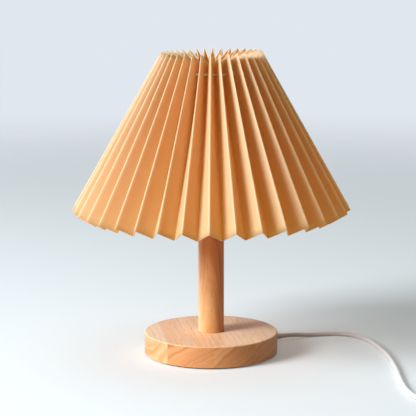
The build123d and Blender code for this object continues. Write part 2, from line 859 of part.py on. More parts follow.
with BuildPart() as switch_upper_shell:
    with BuildSketch(switch_plan.offset(switch_lower_height)):
        RectangleRounded(switch_length, switch_width, switch_corner)
    extrude(amount=switch_upper_height)
    fillet(switch_upper_shell.faces().sort_by(Axis.Z)[-1].edges(), switch_edge_rounding)
    with BuildSketch(switch_plan.offset(switch_lower_height)):
        RectangleRounded(inner_length, inner_width, switch_corner - switch_wall)
    extrude(amount=switch_upper_height - switch_wall, mode=Mode.SUBTRACT)
    with BuildSketch(switch_plan.offset(switch_lower_height)):
        with Locations(*boss_places):
            Circle(switch_boss_diameter / 2)
    extrude(amount=switch_upper_height - switch_wall)
    cheek_middle = rocker_width / 2 + running + cheek_thickness / 2
    with BuildSketch(switch_plan.offset(switch_ceiling - cheek_drop)):
        with Locations((0, cheek_middle), (0, -cheek_middle)):
            Rectangle(cheek_length, cheek_thickness)
    extrude(amount=cheek_drop)
    with BuildSketch(switch_plan.offset(switch_ceiling)):
        Rectangle(rocker_length + 2 * rocker_window_gap, rocker_width + 2 * running)
    extrude(amount=switch_wall, mode=Mode.SUBTRACT)
    with BuildSketch(switch_elevation):
        Circle(pivot_diameter / 2 + slip)
    extrude(amount=cheek_middle + cheek_thickness, both=True, mode=Mode.SUBTRACT)
    with BuildSketch(switch_plan.offset(switch_lower_height)):
        with Locations(*boss_places):
            Circle(switch_screw_diameter / 2 + slip)
    screw_tip = switch_screw_recess + switch_screw_head_depth + switch_screw_length
    extrude(amount=screw_tip + slip - switch_lower_height, mode=Mode.SUBTRACT)
    with BuildSketch(cord_entry):
        Circle(cord_radius + slip)
    extrude(amount=switch_length, both=True, mode=Mode.SUBTRACT)

with BuildPart() as switch_rocker:
    lean = math.radians(rocker_tilt)
    tilted = Plane(pivot, x_dir=(math.cos(lean), 0, math.sin(lean)), z_dir=(0, -1, 0))
    with BuildSketch(tilted):
        with BuildLine():
            wing = rocker_length / 2
            Line((-wing, rocker_rise), (-wing, rocker_skirt))
            Line((-wing, rocker_skirt), (wing, rocker_skirt))
            Line((wing, rocker_skirt), (wing, rocker_rise))
            ThreePointArc((wing, rocker_rise), (0, rocker_rise - rocker_dip), (-wing, rocker_rise))
        make_face()
        Circle(rocker_hub_diameter / 2)
        Circle(pivot_diameter / 2 + slip, mode=Mode.SUBTRACT)
    extrude(amount=rocker_width / 2, both=True)

with BuildPart() as switch_pivot:
    with BuildSketch(switch_elevation):
        Circle(pivot_diameter / 2)
    extrude(amount=cheek_middle + cheek_thickness / 2, both=True)

with BuildPart() as switch_contacts:
    strip_top = seat_level + contact_thickness
    with BuildSketch(switch_plan.offset(seat_level)):
        with Locations((-(strip_end + strip_gap) / 2, strip_offset)):
            Rectangle(strip_end - strip_gap, strip_width)
    extrude(amount=contact_thickness)
    strip_side = Plane((switch_x, switch_y + strip_offset, seat_level), x_dir=(1, 0, 0), z_dir=(0, -1, 0))
    with BuildSketch(strip_side):
        with BuildLine():
            spring_root = seat_x - seat_length / 2
            Polyline(
                (strip_end, 0),
                (spring_root, 0),
                (strip_gap, strip_rise),
                (strip_gap, strip_rise + contact_thickness),
                (spring_root, contact_thickness),
                (strip_end, contact_thickness),
                close=True,
            )
        make_face()
    extrude(amount=strip_width / 2, both=True)

core_level = switch_lower_height
neutral_points = [
    (switch_inlet, switch_y - strip_offset, core_level),
    (switch_inlet + wire_bend + 1.0, switch_y - strip_offset, core_level),
    (switch_x - strip_end, switch_y - wire_side_run, core_level),
    (switch_x + strip_end, switch_y - wire_side_run, core_level),
    (switch_outlet - wire_bend - 1.0, switch_y - strip_offset, core_level),
    (switch_outlet, switch_y - strip_offset, core_level),
]
with BuildPart() as switch_wires:
    for start, end in ((switch_inlet, switch_x - strip_end), (switch_x + strip_end, switch_outlet)):
        with BuildSketch(Plane((start, switch_y + strip_offset, core_level), z_dir=(1, 0, 0))):
            Circle(core_diameter / 2)
        extrude(amount=end - start)
    with BuildLine() as neutral_path:
        FilletPolyline(*neutral_points, radius=wire_bend)
    with BuildSketch(Plane(neutral_path.line @ 0, z_dir=neutral_path.line % 0)):
        Circle(core_diameter / 2)
    sweep()

with BuildPart() as switch_screws:
    with BuildSketch(switch_plan.offset(switch_screw_recess)):
        with Locations(*boss_places):
            Circle(switch_screw_head / 2)
    extrude(amount=switch_screw_head_depth)
    with BuildSketch(switch_plan.offset(switch_screw_recess + switch_screw_head_depth)):
        with Locations(*boss_places):
            Circle(switch_screw_diameter / 2)
    extrude(amount=switch_screw_length)

# Plug: moulded body with its relief, and two pins with insulating sleeves
plug_rear_x = plug_entry_x - plug_relief_length
plug_face_x = plug_rear_x - plug_body_length


def plug_section(x):
    """Plane across the plug, with its normal towards the pins."""
    return Plane((x, plug_y, plug_level), x_dir=(0, 1, 0), z_dir=(-1, 0, 0))


pin_places = [(-pin_spacing / 2, 0), (pin_spacing / 2, 0)]

with BuildPart() as plug_body:
    with BuildSketch(plug_section(plug_rear_x)):
        RectangleRounded(plug_rear_width, plug_rear_thickness, plug_corner)
    with BuildSketch(plug_section(plug_rear_x - plug_shoulder_length)):
        RectangleRounded(plug_shoulder_width, plug_thickness, plug_corner)
    with BuildSketch(plug_section(plug_face_x)):
        RectangleRounded(plug_width, plug_thickness, plug_corner)
    loft(ruled=True)
    with BuildSketch(plug_section(plug_entry_x)):
        Circle(cord_radius + plug_relief_wall)
    with BuildSketch(plug_section(plug_rear_x)):
        Circle(plug_relief_root / 2)
    loft()
    with BuildSketch(plug_section(plug_face_x + pin_root)):
        with Locations(*pin_places):
            Circle(pin_core_diameter / 2 + slip)
    extrude(amount=pin_root, mode=Mode.SUBTRACT)

with BuildPart() as plug_pins:
    with BuildSketch(plug_section(plug_face_x + pin_root)):
        with Locations(*pin_places):
            Circle(pin_core_diameter / 2)
    extrude(amount=pin_root + pin_sleeve_length)
    with BuildSketch(plug_section(plug_face_x - pin_sleeve_length)):
        with Locations(*pin_places):
            Circle(pin_diameter / 2)
    extrude(amount=pin_length - pin_sleeve_length)
    tips = plug_pins.faces().sort_by(Axis.X)[:2]
    fillet(tips.edges(), pin_diameter / 4)

with BuildPart() as plug_sleeves:
    with BuildSketch(plug_section(plug_face_x)):
        with Locations(*pin_places):
            Circle(pin_diameter / 2)
            Circle(pin_core_diameter / 2 + slip, mode=Mode.SUBTRACT)
    extrude(amount=pin_sleeve_length)

pieces = {
    "base_pad": base_pad,
    "base_disc": base_disc,
    "stem": stem,
    "threaded_rod": threaded_rod,
    "base_washer": base_washer,
    "base_nut": base_nut,
    "holder_cap": holder_cap,
    "holder_shell": holder_shell,
    "holder_insert": holder_insert,
    "holder_sleeve": holder_sleeve,
    "centre_contact": centre_contact,
    "terminal_posts": terminal_posts,
    "terminal_screws": terminal_screws,
    "carrier_collar": carrier_collar,
    "shade_clamp_ring": shade_clamp_ring,
    "carrier_arms": carrier_arms,
    "carrier_ring": carrier_ring,
    "shade_sheet": shade_sheet,
    "drawstring": drawstring,
    "bulb_tip": bulb_tip,
    "bulb_insulator": bulb_insulator,
    "bulb_cap": bulb_cap,
    "bulb_housing": bulb_housing,
    "bulb_globe": bulb_globe,
    "cord_gland": cord_gland,
    "cord_inner": cord_inner,
    "cord_clamp": cord_clamp,
    "clamp_screws": clamp_screws,
    "live_core": live_core,
    "neutral_core": neutral_core,
    "cord_lead": cord_lead,
    "switch_lower_shell": switch_lower_shell,
    "switch_upper_shell": switch_upper_shell,
    "switch_rocker": switch_rocker,
    "switch_pivot": switch_pivot,
    "switch_contacts": switch_contacts,
    "switch_wires": switch_wires,
    "switch_screws": switch_screws,
    "cord_link": cord_link,
    "cord_coil": cord_coil,
    "cord_tie": cord_tie,
    "cord_tail": cord_tail,
    "plug_body": plug_body,
    "plug_pins": plug_pins,
    "plug_sleeves": plug_sleeves,
}
for name, piece in pieces.items():
    piece.part.label = name
    export_step(piece.part, f"parts/{name}.step")
print(len(pieces), "pieces written")
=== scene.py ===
# %% [markdown]
# # A pleated table lamp
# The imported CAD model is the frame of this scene: every stiff piece already has its true place
# and size. What is left for Blender is the look of it: the folded sheet of the shade, the lead
# on the floor, threads and ribs, and the finish of every surface. All lengths are in metres.

import math

import bmesh
import bpy
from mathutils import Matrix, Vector


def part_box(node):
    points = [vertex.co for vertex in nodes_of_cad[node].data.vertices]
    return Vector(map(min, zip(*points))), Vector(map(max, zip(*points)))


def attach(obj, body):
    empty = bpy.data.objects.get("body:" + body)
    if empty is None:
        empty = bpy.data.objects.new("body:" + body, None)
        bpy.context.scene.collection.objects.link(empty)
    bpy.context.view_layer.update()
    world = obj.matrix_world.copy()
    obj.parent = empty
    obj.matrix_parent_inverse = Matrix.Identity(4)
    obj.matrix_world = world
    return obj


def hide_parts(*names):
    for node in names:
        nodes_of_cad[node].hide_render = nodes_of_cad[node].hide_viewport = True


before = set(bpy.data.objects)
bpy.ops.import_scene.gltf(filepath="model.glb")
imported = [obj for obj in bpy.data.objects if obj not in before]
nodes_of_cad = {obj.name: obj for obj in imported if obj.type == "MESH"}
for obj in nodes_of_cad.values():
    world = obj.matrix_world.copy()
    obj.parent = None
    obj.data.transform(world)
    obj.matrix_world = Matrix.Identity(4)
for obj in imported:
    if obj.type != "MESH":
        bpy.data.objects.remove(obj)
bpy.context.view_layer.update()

# %% [markdown]
# ## Camera
# A photograph fixes its own camera. The ellipses of the base and the ends of the shade were
# measured, and a pinhole camera was fitted to them: it stands 1.6 m in front of the lamp,
# a little above its top, and looks slightly down through a long lens.

# %% Camera
PHOTO_PIXELS = 416
FOCAL_PIXELS = 1564.794
SENSOR_WIDTH = 36.0
CAMERA_PLACE = (-0.003283, -1.608626, 0.420952)
CAMERA_PITCH = 0.1638938

camera_data = bpy.data.cameras.new("photo_camera")
camera_data.sensor_width = SENSOR_WIDTH
camera_data.lens = FOCAL_PIXELS / PHOTO_PIXELS * SENSOR_WIDTH
camera_data.clip_start = 0.01
camera = bpy.data.objects.new("photo_camera", camera_data)
camera.location = CAMERA_PLACE
camera.rotation_euler = (math.pi / 2 - CAMERA_PITCH, 0.0, 0.0)
bpy.context.collection.objects.link(camera)
bpy.context.scene.camera = camera
print("lens", round(camera_data.lens, 2), "mm")

# %% [markdown]
# ## Finishes
# A material is a small graph of nodes. Writing each graph out in full hides what matters, so a
# helper class adds nodes and sums in one line each. Most patterns read Object coordinates, which
# are metres here, so a noise scale of 400 makes blotches of about 2.5 mm.

# %% A helper that writes node graphs
class Graph:
    """A node tree under construction."""

    def __init__(self, tree):
        self.tree = tree

    def add(self, kind, **inputs):
        node = self.tree.nodes.new(kind)
        for name, value in inputs.items():
            self.feed(node.inputs[name.replace("_", " ")], value)
        return node

    def feed(self, socket, value):
        if isinstance(value, bpy.types.NodeSocket):
            self.tree.links.new(value, socket)
        else:
            socket.default_value = value

    def sum(self, operation, first, second=0.0, third=0.0):
        node = self.tree.nodes.new("ShaderNodeMath")
        node.operation = operation
        for socket, value in zip(node.inputs, (first, second, third)):
            self.feed(socket, value)
        return node.outputs["Value"]

    def shown(self):
        """1 for a ray that shows the thing itself: straight, mirrored or through glass."""
        rays = self.add("ShaderNodeLightPath").outputs
        indirect = self.sum("MAXIMUM", rays["Is Glossy Ray"], rays["Is Transmission Ray"])
        return self.sum("MAXIMUM", rays["Is Camera Ray"], indirect)

    def surface(self, factor, first, second, end="Material Output"):
        """Ends the tree in a mix of two shaders."""
        both = self.add("ShaderNodeMixShader", Fac=factor)
        self.tree.links.new(first, both.inputs[1])
        self.tree.links.new(second, both.inputs[2])
        self.tree.links.new(both.outputs[0], self.tree.nodes[end].inputs["Surface"])


# %% A helper that writes finishes
class Finish(Graph):
    """A material under construction."""

    def __init__(self, name):
        self.material = bpy.data.materials.new(name)
        self.material.use_nodes = True
        super().__init__(self.material.node_tree)
        self.skin = self.tree.nodes["Principled BSDF"]
        self.place = self.add("ShaderNodeTexCoord").outputs["Object"]

    def noise(self, scale, detail=3.0, place=None, rough=0.5):
        node = self.add("ShaderNodeTexNoise", Scale=scale, Detail=detail, Roughness=rough)
        self.feed(node.inputs["Vector"], place or self.place)
        return node.outputs["Fac"]

    def stretched(self, scale, turn=(0.0, 0.0, 0.0), place=None):
        node = self.add("ShaderNodeMapping", Scale=scale, Rotation=turn)
        self.feed(node.inputs["Vector"], place or self.place)
        return node.outputs["Vector"]

    def ramp(self, factor, stops, mode="LINEAR"):
        node = self.add("ShaderNodeValToRGB", Fac=factor)
        node.color_ramp.interpolation = mode
        elements = node.color_ramp.elements
        while len(elements) < len(stops):
            elements.new(0.5)
        for element, (place, colour) in zip(elements, stops):
            element.position = place
            element.color = (*colour, 1.0)
        return node.outputs["Color"]

    def blend(self, factor, first, second):
        node = self.tree.nodes.new("ShaderNodeMix")
        node.data_type = "RGBA"
        self.feed(node.inputs["Factor"], factor)
        for name, value in (("A", first), ("B", second)):
            socket = [s for s in node.inputs if s.name == name and s.type == "RGBA"][0]
            self.feed(socket, value if isinstance(value, bpy.types.NodeSocket) else (*value, 1.0))
        return [s for s in node.outputs if s.type == "RGBA"][0]

    def range(self, value, low, high, start=0.0, stop=1.0):
        node = self.add("ShaderNodeMapRange", Value=value, To_Min=low, To_Max=high)
        self.feed(node.inputs["From Min"], start)
        self.feed(node.inputs["From Max"], stop)
        return node.outputs["Result"]

    def relief(self, height, strength, depth):
        node = self.add("ShaderNodeBump", Height=height, Strength=strength, Distance=depth)
        self.feed(self.skin.inputs["Normal"], node.outputs["Normal"])
        return node.outputs["Normal"]

    def set(self, **values):
        for name, value in values.items():
            self.feed(self.skin.inputs[name.replace("_", " ")], value)


# %% [markdown]
# ## Plain finishes
# Moulded, ceramic and metal pieces have one colour each, and a single value on the shader would
# give it. But no real surface is quite even, and one that is looks drawn. So one recipe serves
# them all: slow noise mottles the colour, and fine noise varies the roughness and the relief.

# %% Plain finishes
CLOUD_SHARE = 0.12
ROUGHNESS_SPREAD = 0.06
SURFACE_RELIEF = 0.25


def plain_finish(name, colour, roughness, mottle, grain, depth=0.00003, metal=0.0):
    """A uniform finish with the slight mottling and relief of a real surface."""
    f = Finish(name)
    cloud = f.noise(grain * CLOUD_SHARE, 4.0)
    fine = f.noise(grain, 2.0)
    darker = tuple(c * (1.0 - mottle) for c in colour)
    lighter = tuple(c * (1.0 + mottle * 0.5) for c in colour)
    f.set(Base_Color=f.ramp(cloud, [(0.3, darker), (0.7, lighter)]), Metallic=metal)
    f.set(Roughness=f.range(fine, roughness - ROUGHNESS_SPREAD, roughness + ROUGHNESS_SPREAD))
    f.relief(fine, SURFACE_RELIEF, depth)
    return f.material


def dress(material, *names):
    """Gives CAD nodes a material."""
    for name in names:
        slots = nodes_of_cad[name].data.materials
        slots.clear()
        slots.append(material)


white_moulding = plain_finish("white_moulding", (0.83, 0.84, 0.86), 0.42, 0.03, 900.0)
glossy_white = plain_finish("glossy_white", (0.86, 0.88, 0.92), 0.22, 0.02, 700.0, 0.00001)
bare_ceramic = plain_finish("bare_ceramic", (0.80, 0.78, 0.74), 0.62, 0.06, 1200.0, 0.00004)
zinc_steel = plain_finish("zinc_steel", (0.55, 0.56, 0.57), 0.32, 0.10, 1500.0, 0.00002, 1.0)
plain_brass = plain_finish("plain_brass", (0.78, 0.56, 0.24), 0.26, 0.12, 900.0, 0.00002, 1.0)
rolled_aluminium = plain_finish("rolled_aluminium", (0.72, 0.72, 0.73), 0.30, 0.08, 1500.0, 0.00002, 1.0)
nickel_pins = plain_finish("nickel_pins", (0.70, 0.68, 0.64), 0.18, 0.05, 1200.0, 0.00001, 1.0)
coated_wire = plain_finish("coated_wire", (0.82, 0.82, 0.80), 0.35, 0.03, 800.0, 0.00002)
dark_foam = plain_finish("dark_foam", (0.11, 0.11, 0.115), 0.92, 0.30, 1600.0, 0.0003)
black_insulator = plain_finish("black_insulator", (0.018, 0.018, 0.020), 0.15, 0.20, 500.0, 0.00001)
brown_insulation = plain_finish("brown_insulation", (0.11, 0.045, 0.018), 0.40, 0.10, 900.0)
blue_insulation = plain_finish("blue_insulation", (0.02, 0.07, 0.32), 0.40, 0.10, 900.0)
black_sleeve = plain_finish("black_sleeve", (0.022, 0.022, 0.022), 0.55, 0.10, 900.0)
white_sheath = plain_finish("white_sheath", (0.86, 0.89, 0.95), 0.38, 0.02, 300.0)
white_strap = plain_finish("white_strap", (0.78, 0.78, 0.77), 0.80, 0.10, 2200.0, 0.0002)
opal_globe = plain_finish("opal_globe", (0.88, 0.87, 0.84), 0.30, 0.01, 300.0, 0.00001)
dress(white_moulding, "holder_cap", "holder_shell", "shade_clamp_ring", "cord_clamp", "bulb_housing")
dress(glossy_white, "switch_lower_shell", "switch_upper_shell", "switch_rocker", "plug_body")
dress(bare_ceramic, "holder_insert")
dress(zinc_steel, "threaded_rod", "base_washer", "base_nut", "terminal_screws", "clamp_screws",
      "switch_screws", "switch_pivot")
dress(plain_brass, "holder_sleeve", "centre_contact", "terminal_posts", "bulb_tip", "switch_contacts")
dress(rolled_aluminium, "bulb_cap")
dress(nickel_pins, "plug_pins")
dress(coated_wire, "carrier_collar", "carrier_arms", "carrier_ring")
dress(dark_foam, "base_pad")
dress(black_insulator, "bulb_insulator")
dress(brown_insulation, "live_core")
dress(blue_insulation, "neutral_core", "switch_wires")
dress(black_sleeve, "plug_sleeves")
dress(white_sheath, "cord_gland", "cord_inner")
dress(opal_globe, "bulb_globe")
print("finishes", len(bpy.data.materials))

# %% [markdown]
# ## Wood
# The base is glued up from strips of pale wood and then turned. A solid texture shows that best:
# each strip has its own growth rings round its own pith, so one recipe gives long streaks on top
# and slanting end grain on the rim, exactly where a saw would find them. The stem is turned from
# a single piece with its pith outside it, so the same rings rise in tall flames.

# %% What both pieces of wood share
PALE_WOOD = [(0.0, (0.77, 0.36, 0.155)), (0.5, (0.80, 0.41, 0.175)), (1.0, (0.83, 0.54, 0.29))]
RED_WOOD = [(0.0, (0.54, 0.165, 0.045)), (0.5, (0.60, 0.205, 0.062)), (1.0, (0.74, 0.35, 0.12))]
# Pale wood that the painted sheen and highlight masks lay on.
PALE_SHEEN_WOOD = [(0.34, (0.92, 0.62, 0.36)), (0.64, (0.99, 0.88, 0.66))]
PORE_BROWN = (0.38, 0.155, 0.06)
PORE_THRESHOLD, PORE_CONTRAST, PORE_LIMIT = 0.62, 4.5, 0.8
PORE_ROUGHNESS = 0.60
PORE_DEPTH = 0.0002
RINGS_PER_METRE = 230.0
RING_EDGES = [(0.36, (0.0, 0.0, 0.0)), (0.60, (1.0, 1.0, 1.0))]


def wood_skin(f, band, tone, pores, pale, streaks, gloss, matt):
    """Mixes reddish and pale wood by growth bands and a tone, with pale streaks where a mask paints sheen (a
    painted highlight on the stem, partly planed face grain on the base), and fine dark pores.
    """
    body = f.blend(band, f.ramp(tone, RED_WOOD), f.ramp(tone, PALE_WOOD))
    body = f.blend(pale, body, f.ramp(streaks, PALE_SHEEN_WOOD))
    f.set(Base_Color=f.blend(pores, body, PORE_BROWN), Specular_IOR_Level=gloss)
    f.set(Roughness=f.range(pores, matt, PORE_ROUGHNESS))
    f.relief(f.sum("MULTIPLY", pores, -1.0), 0.35, PORE_DEPTH)
    return f.material


def pore_lines(f, place):
    """Short dark dashes along the grain."""
    cells = f.noise(1.0, 1.5, place, 0.55)
    above = f.sum("MAXIMUM", f.sum("SUBTRACT", cells, PORE_THRESHOLD), 0.0)
    return f.sum("MINIMUM", f.sum("MULTIPLY", above, PORE_CONTRAST), PORE_LIMIT)


def from_pith(f, across, deep):
    """Distance from the pith, across the grain."""
    squares = [f.sum("MULTIPLY", part, part) for part in (across, deep)]
    return f.sum("SQRT", f.sum("ADD", *squares))


def grain_bands(f, radius, shift, along):
    """Uneven growth bands: noise that changes fast outwards from the pith and slowly along the grain."""
    outwards = f.sum("MULTIPLY", radius, RINGS_PER_METRE)
    place = f.add("ShaderNodeCombineXYZ", X=outwards, Y=shift, Z=along).outputs[0]
    return f.ramp(f.noise(1.0, 4.0, place, 0.62), RING_EDGES)


# %% Wood of the base
STRIP_WIDTH = 0.0445
STRIP_SHIFT = 0.0076
STRIP_TURN = math.radians(-8.5)
FIRST_STRIP = -2
# One row for each strip, from the left: how pale it is, and where its pith lies across and below it.
STRIPS = [(0.95, 0.080, 0.030), (0.30, 0.062, 0.080), (0.56, 0.048, 0.062), (0.64, 0.020, 0.050)]
# Noise for each metre across, along and through the base.
BASE_WAVES, BASE_PORES, BASE_FIBRES = (45.0, 7.0, 45.0), (1100.0, 70.0, 1100.0), (520.0, 12.0, 520.0)
BASE_GRAIN = 6.0
BASE_WANDER = 0.010
# Each strip reads the noise of its bands this far from the next one, so no two are alike.
STRIP_JUMP = 7.3
TONE_WANDER = 0.30
# The flat faces are painted paler than the turned rim: partly the planed face grain, partly a painted sheen;
# the strips still show in their streaks.
PLANED_AND_SHEEN_SHARE = 0.70
STREAK_LEVEL, STREAK_STRIP = -0.15, 0.32


def base_wood():
    f = Finish("laminated_wood")
    turn = (0.0, 0.0, STRIP_TURN)
    turned = f.stretched((1.0, 1.0, 1.0), turn)
    axes = f.add("ShaderNodeSeparateXYZ", Vector=turned)
    x, y, z = (axes.outputs[k] for k in "XYZ")
    strip = f.sum("FLOOR", f.sum("DIVIDE", f.sum("ADD", x, STRIP_SHIFT), STRIP_WIDTH))
    row_place = f.sum("MULTIPLY_ADD", strip, 1.0 / len(STRIPS), (0.5 - FIRST_STRIP) / len(STRIPS))
    card = f.ramp(row_place, [(k / len(STRIPS), row) for k, row in enumerate(STRIPS)], "CONSTANT")
    row = f.add("ShaderNodeSeparateColor", Color=card).outputs
    middle = f.sum("MULTIPLY_ADD", f.sum("ADD", strip, 0.5), STRIP_WIDTH, -STRIP_SHIFT)
    across = f.sum("SUBTRACT", f.sum("SUBTRACT", x, middle), row["Green"])
    wander = f.noise(1.0, 2.0, f.stretched(BASE_WAVES, turn))
    radius = f.sum("MULTIPLY_ADD", wander, BASE_WANDER, from_pith(f, across, f.sum("ADD", z, row["Blue"])))
    band = grain_bands(f, radius, f.sum("MULTIPLY", strip, STRIP_JUMP), f.sum("MULTIPLY", y, BASE_GRAIN))
    pores = pore_lines(f, f.stretched(BASE_PORES, place=turned))
    tone = f.sum("MULTIPLY_ADD", wander, TONE_WANDER, f.sum("SUBTRACT", row["Red"], TONE_WANDER / 2))
    # Painted sheen: faces that point up or down are painted paler, partly as planed face grain.
    facing = f.add("ShaderNodeSeparateXYZ", Vector=f.add("ShaderNodeNewGeometry").outputs["True Normal"])
    planed_and_sheen = f.range(f.sum("ABSOLUTE", facing.outputs["Z"]), 0.0, PLANED_AND_SHEEN_SHARE)
    fibres = f.noise(1.0, 3.0, f.stretched(BASE_FIBRES, place=turned), 0.6)
    streaks = f.sum("MULTIPLY_ADD", row["Red"], STREAK_STRIP, f.sum("ADD", fibres, STREAK_LEVEL))
    return wood_skin(f, band, tone, pores, planed_and_sheen, streaks, gloss=0.55, matt=0.44)


dress(base_wood(), "base_disc")
print("wood strips", STRIP_WIDTH * 1000, "mm wide")

# %% Wood of the stem
PITH_LEFT, PITH_FRONT = 0.003, 0.050
# Noise for each metre across, through and along the stem.
STEM_WAVES, STEM_PORES, STEM_FIBRES = (80.0, 80.0, 9.0), (900.0, 900.0, 70.0), (520.0, 520.0, 12.0)
STEM_GRAIN = 5.0
STEM_WANDER = 0.006
STEM_SLICE = 0.7
STEM_BANDS = 0.8
FLAME_SLOPE = 0.115
RED_FLAME, PALE_FLAME = 0.060, 0.046
PALEST_TONE, TONE_SHIFT = 0.95, -0.06
# Painted light: the wood is painted paler on the lit left side and redder on the shaded right.
PAINTED_LIGHT_TO_THE_LEFT = -22.0
# A narrow pale stripe up the left side is a painted highlight where the light falls.
PAINTED_HIGHLIGHT_START, PAINTED_HIGHLIGHT_FULL = -0.0080, -0.0130
PAINTED_HIGHLIGHT_SHARE = 0.65


def stem_wood():
    f = Finish("turned_wood")
    axes = f.add("ShaderNodeSeparateXYZ", Vector=f.place)
    x, y, z = (axes.outputs[k] for k in "XYZ")
    radius = from_pith(f, f.sum("ADD", x, PITH_LEFT), f.sum("ADD", y, PITH_FRONT))
    wander = f.noise(1.0, 2.0, f.stretched(STEM_WAVES))
    flame = f.sum("MULTIPLY_ADD", z, FLAME_SLOPE, f.sum("MULTIPLY_ADD", wander, STEM_WANDER, radius))
    band = grain_bands(f, flame, STEM_SLICE, f.sum("MULTIPLY", z, STEM_GRAIN))
    band = f.sum("MULTIPLY", band, STEM_BANDS)
    pores = pore_lines(f, f.stretched(STEM_PORES))
    tone = f.sum("ADD", f.range(flame, 0.0, PALEST_TONE, RED_FLAME, PALE_FLAME), TONE_SHIFT)
    # Painted light and shade across the stem, paler to the left.
    tone = f.sum("MULTIPLY_ADD", x, PAINTED_LIGHT_TO_THE_LEFT, tone)
    # Painted highlight: a pale stripe up the lit left side.
    painted_highlight = f.range(x, 0.0, PAINTED_HIGHLIGHT_SHARE, PAINTED_HIGHLIGHT_START, PAINTED_HIGHLIGHT_FULL)
    streaks = f.noise(1.0, 3.0, f.stretched(STEM_FIBRES), 0.6)
    return wood_skin(f, band, tone, pores, painted_highlight, streaks, gloss=0.32, matt=0.36)


dress(stem_wood(), "stem")
print("pith of the stem", PITH_FRONT * 1000, "mm in front of its axis")

# %% [markdown]
# ## Finish of the sheet
# The sheet is thin and stiff, and it lets some light through: panels that face away from the
# light glow orange. Subsurface scattering suits thick things, so a translucent shader is mixed
# with the satin one instead. The ridges are painted paler, partly as wear of the coating and
# partly as a painted highlight, and an attribute that the folding tree stores tells the shader where they
# are.

# %% Finish of the sheet
SHEET_CREAM = [(0.3, (0.89, 0.87, 0.57)), (0.7, (0.91, 0.90, 0.62))]
# Fold colours: partly wear of the coating, partly a painted highlight along every ridge.
SHEET_FIBRE, SHEET_FOLD_WEAR_AND_HIGHLIGHT = (0.87, 0.80, 0.45), (0.98, 0.95, 0.86)
THROUGH_SHEET, THROUGH_FIBRE = (0.97, 0.555, 0.003), (0.95, 0.495, 0.002)
THROUGH_FOLD_WEAR_AND_HIGHLIGHT = (0.98, 0.84, 0.58)
SHARE_THROUGH = 0.55
FIBRE_SCALE = (900.0, 260.0, 1.0)
CLOUD_SCALE = 26.0


def sheet_finish():
    """Cream sheet: satin in front, orange where light comes through it, and paler along its folds: partly
    wear, partly a painted highlight.
    """
    f = Finish("cream_sheet")
    flat = f.add("ShaderNodeUVMap")
    flat.uv_map = "UVMap"
    fibres = f.add("ShaderNodeMapping", Vector=flat.outputs["UV"], Scale=FIBRE_SCALE)
    weave = f.noise(1.0, 4.0, fibres.outputs["Vector"], 0.6)
    attribute = f.add("ShaderNodeAttribute")
    attribute.attribute_name = "crease"
    fold = attribute.outputs["Fac"]
    body = f.blend(f.range(weave, 0.0, 0.30), f.ramp(f.noise(CLOUD_SCALE), SHEET_CREAM), SHEET_FIBRE)
    f.set(Base_Color=f.blend(fold, body, SHEET_FOLD_WEAR_AND_HIGHLIGHT), Roughness=f.range(weave, 0.36, 0.48), IOR=1.25)
    glow = f.add("ShaderNodeBsdfTranslucent", Normal=f.relief(weave, 0.12, 0.0001))
    through = f.blend(f.range(weave, 0.0, 0.4), THROUGH_SHEET, THROUGH_FIBRE)
    f.feed(glow.inputs["Color"], f.blend(fold, through, THROUGH_FOLD_WEAR_AND_HIGHLIGHT))
    f.surface(SHARE_THROUGH, f.skin.outputs[0], glow.outputs[0])
    return f.material


cream_sheet = sheet_finish()
cut_edge = plain_finish("cut_edge", (0.96, 0.92, 0.82), 0.7, 0.04, 1800.0)
print("sheet lets through", SHARE_THROUGH)

# %% [markdown]
# ## Pleated shade
# The shade is one long strip, folded to and fro into equal panels and closed into a cone.
# A rule makes it, so Geometry Nodes are the right tool: a flat grid of points is sent to a ridge
# line, a valley line and the straight panels between them. The folds are rounded by about a
# millimetre, because a real sheet can't bend sharper, and that rounding catches the light.

# %% A helper that writes Geometry Nodes trees
class Growth(Graph):
    """A geometry tree under construction."""

    def __init__(self, name, inputs):
        super().__init__(bpy.data.node_groups.new(name, "GeometryNodeTree"))
        face = self.tree.interface
        face.new_socket("Geometry", in_out="INPUT", socket_type="NodeSocketGeometry")
        for label, kind, value in inputs:
            socket = face.new_socket(label, in_out="INPUT", socket_type=kind)
            if value is not None:
                socket.default_value = value
        face.new_socket("Geometry", in_out="OUTPUT", socket_type="NodeSocketGeometry")
        self.start = self.tree.nodes.new("NodeGroupInput")
        self.end = self.tree.nodes.new("NodeGroupOutput")

    def value(self, label):
        return self.start.outputs[label]

    def mix(self, factor, first, second):
        return self.sum("MULTIPLY_ADD", factor, self.sum("SUBTRACT", second, first), first)

    def point(self, x, y, z):
        return self.add("ShaderNodeCombineXYZ", X=x, Y=y, Z=z).outputs[0]

    def finish(self, geometry, material):
        whole = self.add("GeometryNodeRealizeInstances", Geometry=geometry).outputs[0]
        painted = self.add("GeometryNodeSetMaterial", Geometry=whole, Material=material).outputs[0]
        self.tree.links.new(painted, self.end.inputs[0])
        return self.tree


# %% Helpers that put pieces in the scene
def grow(name, tree, values):
    """Runs a tree once and keeps the result as a plain mesh."""
    holder = bpy.data.objects.new(name + "_seed", bpy.data.meshes.new(name + "_seed"))
    bpy.context.collection.objects.link(holder)
    modifier = holder.modifiers.new("grow", "NODES")
    modifier.node_group = tree
    sockets = {s.name: s.identifier for s in tree.interface.items_tree if s.in_out == "INPUT"}
    for label, value in values.items():
        modifier[sockets[label]] = value
    graph = bpy.context.evaluated_depsgraph_get()
    result = bpy.data.meshes.new_from_object(holder.evaluated_get(graph))
    bpy.data.objects.remove(holder)
    return piece(name, result)


def piece(name, mesh):
    """An object at the origin for a finished mesh."""
    mesh.name = name
    made = bpy.data.objects.new(name, mesh)
    bpy.context.collection.objects.link(made)
    return made


